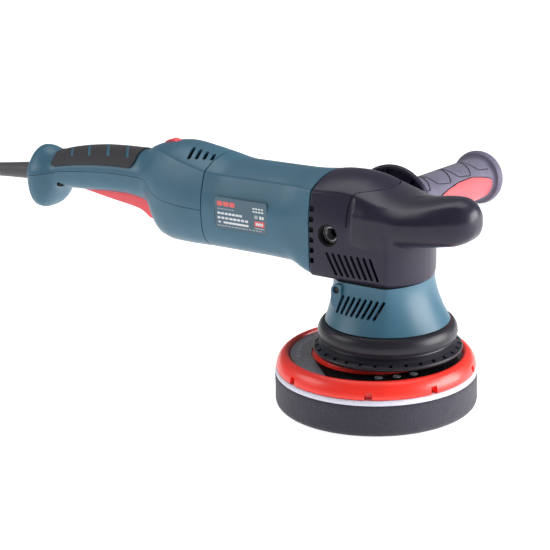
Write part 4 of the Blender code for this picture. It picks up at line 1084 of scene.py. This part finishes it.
def pad_plate():
    plate = [(45.0, 39.7), (45.6, 39.1), (45.6, 37.1), (64.9, 37.1), (65.3, 38.2), (66.2, 39.6),
             (67.6, 40.1), (69.2, 39.6), (71.4, 38.0), (73.2, 35.6), (74.5, 32.6), (75.0, 30.4),
             (75.0, 28.4), (74.4, 28.0), (9.0, 28.0), (9.0, 34.6), (4.5, 34.6), (4.5, 39.7)]
    ob = turned("pad_plate", soften(plate, 0.5, 2), (PAD_X, 0, 0), "red", steps=160)
    bm = bmesh.new()
    for degrees in NOTCH_ANGLES:
        turn = Matrix.Translation((PAD_X, 0, 0)) @ Matrix.Rotation(math.radians(degrees), 4, "Z")
        verts = add_prism(bm, round_outline((70.4, -2.7), (80.0, 2.7), 0.4, 2), "z", 26.0, 33.6)
        bmesh.ops.transform(bm, matrix=turn, verts=verts)
    combine(ob, mesh_object("rim_notches", bm))
    place(ob, "pad", "red_plastic", "backing_plate")

    film = [(48.5, 37.9), (64.4, 37.9), (64.6, 37.7), (64.6, 37.15), (48.3, 37.15), (48.3, 37.7)]
    ob = turned("plate_film", film, (PAD_X, 0, 0), "film", steps=120)
    # The grey sector on the film's far side is a painted reflection of the bright surroundings; the dashes
    # on it are print.
    zone = sector_ring(48.8, 64.2, math.radians(118), math.radians(268), 37.5, 37.96, math.radians(38))
    add_mesh(ob, zone, "grey")
    for angle in (-56.0, -42.0, -28.0):
        add_mesh(ob, round_icon(54.4, math.radians(angle)), "ink")
    dashes = random.Random(7)
    start = 150.0
    while start < 222.0:
        width = 2.0 + 2.5 * dashes.random()
        low, high = (56.5, 60.3) if width > 3.2 else (57.0, 59.6)
        add_mesh(ob, sector_ring(low, high, math.radians(start), math.radians(start + width * 0.6), 37.8,
                                 38.02), "ink_grey")
        start += width + 1.6
    place(ob, "pad", "label_film", "plate_label")

    hook = [(0.001, 27.7), (74.8, 27.7), (75.5, 27.2), (75.8, 26.4), (75.9, 25.0), (75.6, 24.1),
            (0.001, 24.1)]
    place(turned("hook_band", hook, (PAD_X, 0, 0), "hook", steps=160), "pad", "hook_fabric", "hook_face")


def add_mesh(ob, bm, finish):
    """Join a bmesh in millimetres to an object, with a finish of its own."""
    index = ob.data.materials.find(MAT[finish].name)
    if index < 0:
        ob.data.materials.append(MAT[finish])
        index = len(ob.data.materials) - 1
    bmesh.ops.scale(bm, vec=(MM, MM, MM), verts=bm.verts)
    for face in bm.faces:
        face.material_index = index
    extra = bpy.data.meshes.new("extra")
    bm.to_mesh(extra)
    bm.free()
    whole = bmesh.new()
    whole.from_mesh(ob.data)
    whole.from_mesh(extra)
    whole.to_mesh(ob.data)
    whole.free()
    smooth(ob)


def sector_ring(inner, outer, start, end, low, high, slant=0.0):
    """A closed flat sector about the pad's axis; its inner edge stops short at both ends by slant."""
    bm = bmesh.new()
    count = max(2, round((end - start) / math.radians(3)))
    angles = [start + (end - start) * i / count for i in range(count + 1)]
    outline = [(PAD_X + outer * math.cos(a), outer * math.sin(a)) for a in angles]
    middle = (start + end) / 2
    shorter = 1.0 - 2 * slant / (end - start)
    angles = [middle + (a - middle) * shorter for a in reversed(angles)]
    outline += [(PAD_X + inner * math.cos(a), inner * math.sin(a)) for a in angles]
    add_prism(bm, outline, "z", low, high)
    return bm


def round_icon(radius, angle):
    """A generic round pictogram: a ring with a bar across it."""
    bm = bmesh.new()
    x, y = PAD_X + radius * math.cos(angle), radius * math.sin(angle)
    outer, inner = circle((x, y), 2.9, 20), circle((x, y), 2.35, 20)
    rows = []
    for depth in (37.85, 38.0):
        rows.append([bm.verts.new((*p, depth)) for p in outer])
        rows.append([bm.verts.new((*p, depth)) for p in inner])
    low_out, low_in, high_out, high_in = rows
    for a, b in ((low_out, high_out), (high_out, high_in), (high_in, low_in), (low_in, low_out)):
        for i in range(20):
            j = (i + 1) % 20
            bm.faces.new((a[i], a[j], b[j], b[i]))
    bmesh.ops.recalc_face_normals(bm, faces=bm.faces)
    along = Vector((-math.sin(angle), math.cos(angle)))
    across = Vector((math.cos(angle), math.sin(angle)))
    middle = Vector((x, y))
    bar = [middle + along * a + across * b for a, b in ((-1.7, -0.8), (0.4, -1.0), (1.8, 0.5), (0.2, 1.3))]
    add_prism(bm, [tuple(p) for p in bar], "z", 37.85, 38.0)
    return bm


def foam_disc():
    """The foam pad: a soft edged disc whose side is slightly uneven."""
    profile = [(0.001, FOAM_H), (40.0, FOAM_H), (74.8, FOAM_H), (75.6, 23.2), (75.9, 22.4)]
    profile += [(76.0, z) for z in steps_between(21.0, 4.0, 1.7)]
    profile += [(75.8, 2.6), (75.3, 1.4), (74.5, 0.5), (73.2, 0.05), (40.0, 0.0), (0.001, 0.0)]
    lumps = random.Random(11)
    phases = [(lumps.uniform(0, 6.28), lumps.uniform(0, 6.28), k) for k in (7, 13, 29, 47)]

    def uneven(r, h, a):
        if r < 70:
            return r, h
        wave = sum(math.sin(k * a + p) * math.sin(h * 0.35 + q) for p, q, k in phases) / 4
        return r + 0.22 * wave, h

    ob = turned("foam_disc", profile, (PAD_X, 0, 0), "foam", steps=240, shape=uneven)
    place(ob, "pad", "foam", "foam_pad")


# ---------------------------------------------------------------- controls

def paddle():
    outline = [(-289.0, 133.2), (-286.5, 131.3), (-280.0, 130.2), (-259.0, 126.9), (-236.5, 123.8),
               (-226.0, 121.4), (-219.5, 117.4), (-215.6, 115.5), (-212.2, 116.2), (-211.7, 118.6),
               (-213.6, 124.0), (-217.0, 131.0), (-219.0, 137.0), (-222.0, 139.0), (-282.0, 139.5),
               (-287.5, 138.4)]
    lower = smooth_path([(x, z, 0.0) for x, z in outline[:13]], 2.0)
    shape = [(p.x, p.y) for p in lower] + outline[13:]
    ob = prisms("paddle", [shape], "y", -TRIGGER_HALF, TRIGGER_HALF, "red")
    bevel = ob.modifiers.new("rounding", "BEVEL")
    bevel.width = 1.3 * MM
    bevel.segments = 3
    bevel.limit_method = "ANGLE"
    bevel.angle_limit = math.radians(60)
    bake(ob, 50.0)
    combine(ob, prisms("hinge_bore", [circle((-284.0, 136.5), 1.9, 20)], "y", -20.0, 20.0))
    repaint(ob, "pink")
    place(ob, "trigger", "red_plastic", "trigger")


def thumb_wheel():
    x, z = DIAL_AXIS
    teeth = 36
    outline = []
    for i in range(teeth * 4):
        r = WHEEL_R - (0.0, 0.0, 0.5, 0.5)[i % 4]
        a = 2 * math.pi * i / (teeth * 4)
        outline.append((x + r * math.cos(a), z + r * math.sin(a)))
    ob = prisms("thumb_wheel", [outline], "y", -3.7, 3.7, "pink")
    combine(ob, prisms("wheel_axle", [circle(DIAL_AXIS, 1.6, 16)], "y", 3.0, 8.2), "UNION")
    combine(ob, prisms("wheel_dish", [circle(DIAL_AXIS, 7.4, 32)], "y", -5.0, -2.9))
    repaint(ob, "pink")
    place(ob, "dial", "red_plastic", "speed_dial")


# ---------------------------------------------------------------- side handle

LEAN = (Matrix.Translation((BOSS_X, 27.2, BOSS_Z)) @ Matrix.Rotation(math.radians(-2.0), 4, "X")
        @ Matrix.Translation((-BOSS_X, -27.2, -BOSS_Z)))


def lean(ob, outwards=0.0):
    """Tip a side handle piece down a little, about the middle of its threaded insert."""
    moved = LEAN @ Matrix.Translation((0.0, outwards, 0.0))
    scaled = Matrix.Scale(MM, 4) @ moved @ Matrix.Scale(1 / MM, 4)
    ob.data.transform(scaled)
    return ob


def tread_lines():
    """Groove lines on the sleeve as runs of (angle in degrees, distance along the axis)."""
    unit = [(92, 0.0), (72, 0.5), (57, 1.8), (46, 4.4), (41.5, 9.5), (39.5, 15.0), (37.0, 19.0),
            (37.5, 21.6), (49, 24.2), (68, 27.2), (92, 30.8)]
    runs = []
    for start in (64.0, 96.6, 129.2, 161.8):
        dense = [(p.x, p.y + start) for p in smooth_path([(a, y, 0.0) for a, y in unit], 1.2)]
        for top in (dense, [(184.0 - a, y) for a, y in dense]):
            runs.append([(a, y) for a, y in top if y < 183.0])
            runs.append([(-a, y) for a, y in top if y < 183.0])
    return runs


BADGE_MIDDLE = -18.5
BADGE_EDGE = [(86.0, 0.0), (90.0, 14.0), (96.0, 25.0), (103.6, 33.0), (117.0, 41.0), (133.0, 46.6),
              (148.0, 46.8), (161.0, 41.0), (172.0, 33.0), (179.0, 26.5), (181.2, 20.0), (181.8, 9.0)]


def badge_spread(y):
    """Half angle of the badge at a place along the axis, in degrees."""
    if not BADGE_EDGE[0][0] < y < BADGE_EDGE[-1][0]:
        return 0.0
    return resample(BADGE_EDGE, [y])[0][1]


def off_badge(a):
    """Angle from the nearer badge's middle line."""
    return min(abs((a - BADGE_MIDDLE + 180) % 360 - 180), abs((a - 180 + BADGE_MIDDLE + 180) % 360 - 180))


def sleeve():
    """The soft sleeve, with its tread grooves pressed into a fine grid of points."""
    around, rows_along = 240, steps_between(56.0, 181.0, 0.55)
    radius = 17.2
    cells = {}
    for run in tread_lines():
        for (a1, y1), (a2, y2) in zip(run, run[1:]):
            for t in (0.0, 0.33, 0.67):
                a, y = (a1 + (a2 - a1) * t) % 360, y1 + (y2 - y1) * t
                cells.setdefault((int(a / 6), int(y / 2)), []).append((a, y))

    def groove(a, y):
        """How deep the groove is here, from 0 to 1."""
        best = 9.0
        for i in (-1, 0, 1):
            for j in (-1, 0, 1):
                for p, q in cells.get(((int(a / 6) + i) % 60, int(y / 2) + j), ()):
                    turn = (a - p + 180) % 360 - 180
                    best = min(best, math.hypot(math.radians(turn) * radius, y - q))
        return max(0.0, 1.0 - (best / 0.75) ** 2)

    bm = bmesh.new()
    rings = []
    marks = []
    for y in rows_along:
        base = 16.2 + (radius - 16.2) * min(1.0, (y - 56.0) / 5.0)
        spread = badge_spread(y)
        ring, mark = [], []
        for i in range(around):
            a = 360.0 * i / around
            to_badge = off_badge(a)
            edge = abs(to_badge - spread - 2.0) * math.radians(1) * radius if spread else 9.0
            inside = spread and to_badge < spread + 2.0
            depth = 0.0 if inside or y < 60 or y > 180.5 else groove(a, y)
            if edge < 0.7:
                depth = max(depth, 1.0 - (edge / 0.7) ** 2)
            r = base - 0.6 * depth
            rad = math.radians(a)
            ring.append(bm.verts.new((BOSS_X + r * math.cos(rad), y, BOSS_Z + r * math.sin(rad))))
            mark.append(depth > 0.3)
        rings.append(ring)
        marks.append(mark)
    tail = [(17.3, 182.0), (17.7, 183.2), (18.6, 184.3), (19.9, 185.0), (21.1, 185.3), (21.6, 186.2),
            (21.9, 187.0), (22.3, 188.2), (22.4, 189.8), (22.1, 191.6), (21.5, 193.1), (20.0, 193.8),
            (16.0, 193.8), (15.2, 192.6), (13.9, 192.4), (13.9, 56.0)]
    for r, y in soften_open(tail):
        ring = [bm.verts.new((BOSS_X + r * math.cos(2 * math.pi * i / around), y,
                              BOSS_Z + r * math.sin(2 * math.pi * i / around))) for i in range(around)]
        rings.append(ring)
        marks.append([False] * around)
    # Faces along the tread grooves and round the badges take the near-black groove_shadow finish: painted
    # shade in the grooves.
    for k, ring in enumerate(rings):
        following = rings[(k + 1) % len(rings)]
        for i in range(around):
            j = (i + 1) % around
            face = bm.faces.new((ring[i], ring[j], following[j], following[i]))
            face.material_index = int(marks[k][i] and marks[k][j])
    bmesh.ops.recalc_face_normals(bm, faces=bm.faces)
    ob = mesh_object("handle_sleeve", bm, "sleeve", 60.0)
    ob.data.materials.append(MAT["groove"])
    place(lean(ob, SLEEVE_OUTWARDS), "root", "soft_black", "side_handle_sleeve")


def soften_open(profile):
    return [tuple(p[:2]) for p in smooth_path([(r, y, 0.0) for r, y in profile[:12]], 0.8)] + profile[12:]


def badge(name, facing):
    """A red leaf laid on the sleeve, blunt towards the flange."""
    rings = []
    for y in steps_between(86.6, 179.0, 1.1) + [179.8, 180.4, 180.9, 181.3, 181.6, 181.75]:
        spread = max(badge_spread(y), 0.4)
        angles = [facing + math.radians(spread * (k / 8 - 1)) for k in range(17)]
        rings.append([(BOSS_X + 17.1 * math.cos(a), y, BOSS_Z + 17.1 * math.sin(a)) for a in angles])
    ob = loft(name, rings, "pink", closed=False, capped=False)
    shell(ob, 0.55, outwards=True)
    return lean(ob, SLEEVE_OUTWARDS)


def handle_core():
    """The hard core with its guard disc, dished and spoked on the tool's side."""
    core = [(4.1, 37.3), (10.5, 37.3), (11.0, 46.0), (12.0, 52.6), (30.6, 53.9), (31.7, 51.6), (33.0, 51.1),
            (34.1, 51.9), (34.6, 53.6), (34.4, 55.4), (33.2, 56.6), (30.6, 56.9), (13.5, 57.4),
            (13.5, 188.0), (13.3, 191.6), (4.1, 191.6)]
    ob = turned("handle_core", soften(core, 0.4, 2), (BOSS_X, 0, BOSS_Z), "black", axis="y", steps=120)
    bm = bmesh.new()
    for i in range(8):
        a = math.pi * i / 4 + 0.2
        along, across = Vector((math.cos(a), math.sin(a))), Vector((-math.sin(a), math.cos(a)))
        points = [along * 11.5 - across * 0.9, along * 31.0 - across * 0.9, along * 31.0 + across * 0.9,
                  along * 11.5 + across * 0.9]
        add_prism(bm, [(BOSS_X + p.x, BOSS_Z + p.y) for p in points], "y", 51.8, 54.4)
    spokes = mesh_object("spokes", bm)
    combine(ob, spokes, "UNION")
    place(lean(ob), "root", "black_plastic", "side_handle_core")


# ---------------------------------------------------------------- cord

def strain_relief():
    steps = [(0.0, 9.2), (2.6, 9.2), (3.2, 7.6), (11.8, 7.5), (12.2, 7.9), (14.0, 7.9), (14.5, 7.35),
             (20.0, 7.25), (45.0, 6.25), (BOOT_LENGTH - 3.0, 5.65), (BOOT_LENGTH - 1.2, 5.5),
             (BOOT_LENGTH - 0.3, 5.1), (BOOT_LENGTH, 4.4)]
    points = [BOOT_ROOT + BOOT_AXIS * along for along, _ in steps]
    widest = steps[0][1]
    ob = tube("strain_relief", points, widest, "cord", resolution=8, tapered=[r / widest for _, r in steps])
    place(ob, "root", "cord_rubber", "cord_boot")


COIL_SLOTS = [(54, 4), (46, 4), (38, 4), (38, 12), (38, 20), (46, 20), (46, 12), (54, 12), (54, 20)]


def coil_points():
    """The coil's turns, clockwise seen from above, each stepping to the next place in its bundle."""
    x, y = COIL_CENTRE
    per_turn = 36
    points = []
    for i in range(per_turn * len(COIL_SLOTS) + per_turn // 4 + 1):
        turn, part = divmod(i / per_turn, 1.0)
        turn = int(turn)
        now = COIL_SLOTS[min(turn, len(COIL_SLOTS) - 1)]
        after = COIL_SLOTS[min(turn + 1, len(COIL_SLOTS) - 1)]
        t = min(1.0, max(0.0, (part - 0.72) / 0.28))
        t = t * t * (3 - 2 * t)
        r, z = (a + (b - a) * t for a, b in zip(now, after))
        a = math.radians(-90) - 2 * math.pi * i / per_turn
        points.append((x + r * math.cos(a), y + r * math.sin(a), z + 0.05))
    return points


def mains_cord():
    """The cord from the boot to the floor, round the coil, and out to the plug."""
    start = BOOT_ROOT + BOOT_AXIS * (BOOT_LENGTH + 0.3)
    line_y = COIL_CENTRE[1] - 54.0
    route = [tuple(start), (-438.0, -1.0, 129.5), (-462.0, -6.0, 117.0), (-482.0, -14.0, 97.0),
             (-498.0, -23.0, 71.0), (-512.0, -31.0, 43.0), (-527.0, -37.0, 20.0), (-545.0, -41.0, 7.5),
             (-560.0, line_y, 4.1), (-575.0, line_y, 4.05)]
    lead_x = COIL_CENTRE[0] - 54.0
    y = COIL_CENTRE[1]
    lead = [(lead_x, y + 14.0, 20.0), (lead_x, y + 30.0, 19.0), (lead_x, y + 42.0, 16.5),
            (lead_x, y + 54.0, 13.8), (lead_x, y + 64.0, 13.0)]
    points = ([tuple(p) for p in smooth_path(route, 7.0)] + coil_points()
              + [tuple(p) for p in smooth_path(lead, 6.0)])
    cord = tube("mains_cord", points, CORD_R, "cord", resolution=3)
    place(cord, "root", "cord_rubber", "power_cord", "cord_coil", "plug_lead")

    rear = y + 64.3
    sizes = [(0.0, 5.2, 5.2), (0.8, 5.6, 5.6), (8.0, 6.5, 6.5), (12.0, 8.4, 8.0), (16.0, 12.0, 10.4),
             (20.0, 15.4, 11.9), (24.0, 17.0, 12.5), (38.0, 18.3, 12.8), (42.6, 18.5, 12.8),
             (44.0, 17.6, 12.0)]
    rings = []
    for along, half_x, half_z in sizes:
        ring = []
        for i in range(48):
            a = 2 * math.pi * i / 48
            ring.append((lead_x + half_x * math.copysign(abs(math.cos(a)) ** 0.7, math.cos(a)), rear + along,
                         13.0 + half_z * math.copysign(abs(math.sin(a)) ** 0.7, math.sin(a))))
        rings.append(ring)
    plug = place(loft("plug_shell", rings, "cord"), "root", "cord_rubber", "plug_body")

    a = math.radians(40)
    across = Vector((math.cos(a), math.sin(a), 0.0))
    along = Vector((-math.sin(a), math.cos(a), 0.0))
    loop = round_outline((33.2, 0.0), (58.8, 24.9), 3.5, 4)
    inner = round_outline((34.2, 0.6), (57.8, 24.3), 3.0, 4)
    rows = []
    for outline, offset in ((loop, -3.5), (loop, 3.5), (inner, 3.5), (inner, -3.5)):
        rows.append([Vector((*COIL_CENTRE, 0.0)) + across * r + along * offset + Vector((0, 0, z)) for r,
                     z in outline])
    bm = bmesh.new()
    rings = [[bm.verts.new(p) for p in row] for row in rows]
    for ring, following in zip(rings, rings[1:] + rings[:1]):
        for i in range(len(ring)):
            j = (i + 1) % len(ring)
            bm.faces.new((ring[i], ring[j], following[j], following[i]))
    bmesh.ops.recalc_face_normals(bm, faces=bm.faces)
    tie = place(mesh_object("coil_tie", bm, "soft"), "root", "cord_rubber")


# ---------------------------------------------------------------- kept CAD nodes

def finish_cad_nodes():
    """Give the drive, motor and fixings that keep their CAD shape a finish of their own."""
    finishes = {
        "steel": ["armature_shaft", "pinion", "ring_gear", "drive_spindle", "pad_spindle", "plate_bolt",
                  "side_handle_stud", "trigger_pin", "trigger_spring", "rear_bearing", "front_bearing",
                  "spindle_upper_bearing", "spindle_lower_bearing", "pad_bearing_lower",
                  "pad_bearing_upper"],
        "screw": ["housing_screw_left", "housing_screw_right", "handle_screw_left", "handle_screw_right"],
        "cast": ["gear_case"],
        "weight": ["counterweight"],
        "laminated": ["stator"],
        "copper": ["armature_core", "commutator"],
        "dark": ["cooling_fan", "brush_carrier", "switch_block"],
        "carbon": ["carbon_brush_left", "carbon_brush_right"],
        "board": ["speed_control_board"],
        "brass": ["plug_pin_left", "plug_pin_right"],
    }
    for finish, names in finishes.items():
        for name in names:
            ob = NODES[name]
            if not ob.data.materials:
                ob.data.materials.append(None)
            for socket in ob.material_slots:
                socket.material = MAT[finish]


# ---------------------------------------------------------------- stage

def soft_box(name, where, aim, size, power, colour=(1.0, 1.0, 1.0)):
    """A square area light that looks at a point; lengths in metres."""
    data = bpy.data.lights.new(name, "AREA")
    data.shape = "RECTANGLE"
    data.size, data.size_y = size
    data.energy = power
    data.color = colour
    ob = link(bpy.data.objects.new(name, data))
    ob.location = where
    ob.rotation_euler = (Vector(aim) - Vector(where)).to_track_quat("-Z", "Y").to_euler()


def studio():
    scene = bpy.context.scene
    scene.view_settings.view_transform = "Standard"
    world = bpy.data.worlds.new("studio")
    world.use_nodes = True
    nodes, links = world.node_tree.nodes, world.node_tree.links
    room = nodes["Background"]
    room.inputs["Color"].default_value = (0.97, 0.98, 1.0, 1.0)
    room.inputs["Strength"].default_value = 0.22
    backdrop = nodes.new("ShaderNodeBackground")
    backdrop.inputs["Color"].default_value = (1.0, 1.0, 1.0, 1.0)
    seen = nodes.new("ShaderNodeMixShader")
    links.new(nodes.new("ShaderNodeLightPath").outputs["Is Camera Ray"], seen.inputs["Fac"])
    links.new(room.outputs["Background"], seen.inputs[1])
    links.new(backdrop.outputs["Background"], seen.inputs[2])
    links.new(seen.outputs["Shader"], nodes["World Output"].inputs["Surface"])
    scene.world = world
    bm = bmesh.new()
    bmesh.ops.create_grid(bm, x_segments=2, y_segments=2, size=6000.0)
    floor = mesh_object("floor", bm)
    floor.location.z = -0.0004
    n = Nodes("floor_paint")
    pale = n.blend(n.noise(900.0, 2.0), (0.70, 0.70, 0.70), (0.72, 0.72, 0.72))
    floor.data.materials.append(n.set(Base_Color=pale, Roughness=0.9, Specular_IOR_Level=0.1,
                                      Emission_Strength=0.82,
                                      Emission_Color=(1.0, 1.0, 1.0, 1.0)))
    soft_box("above", (-0.15, 0.25, 1.3), (-0.12, 0.0, 0.1), (1.4, 0.6), 8.0)
    soft_box("left", (-1.25, -0.9, 0.85), (-0.15, 0.0, 0.12), (0.9, 0.7), 8.0)
    soft_box("right", (1.22, 0.58, 0.46), (0.0, 0.0, 0.10), (1.1, 0.8), 29.0)


def main():
    aim_camera()
    strain_relief()
    mains_cord()
    finish_cad_nodes()
    motor_shell()
    printed_label()
    rear_body()
    ring_lip("seam_tongue_rear", SEAM_X - 3.0, SEAM_X + 3.0, (35.0, MOTOR_Z, 176.0, 27.0, 166.2, 104.0))
    ring_lip("seam_tongue_front", HEAD_REAR_X - 3.0, HEAD_REAR_X + 3.0,
             (36.0, MOTOR_Z, 174.5, 32.5, 165.5, 101.5))
    grip_panel()
    head_cover_and_palm_rest()
    boss_details()
    bell_housing()
    skirt()
    housing_screw_heads()
    pad_plate()
    foam_disc()
    paddle()
    thumb_wheel()
    sleeve()
    handle_core()
    for name, facing in (("front", math.radians(BADGE_MIDDLE)),
                         ("rear", math.radians(180.0 - BADGE_MIDDLE))):
        place(badge(f"sleeve_badge_{name}", facing), "root", "red_plastic", f"side_handle_badge_{name}")
    studio()


main()
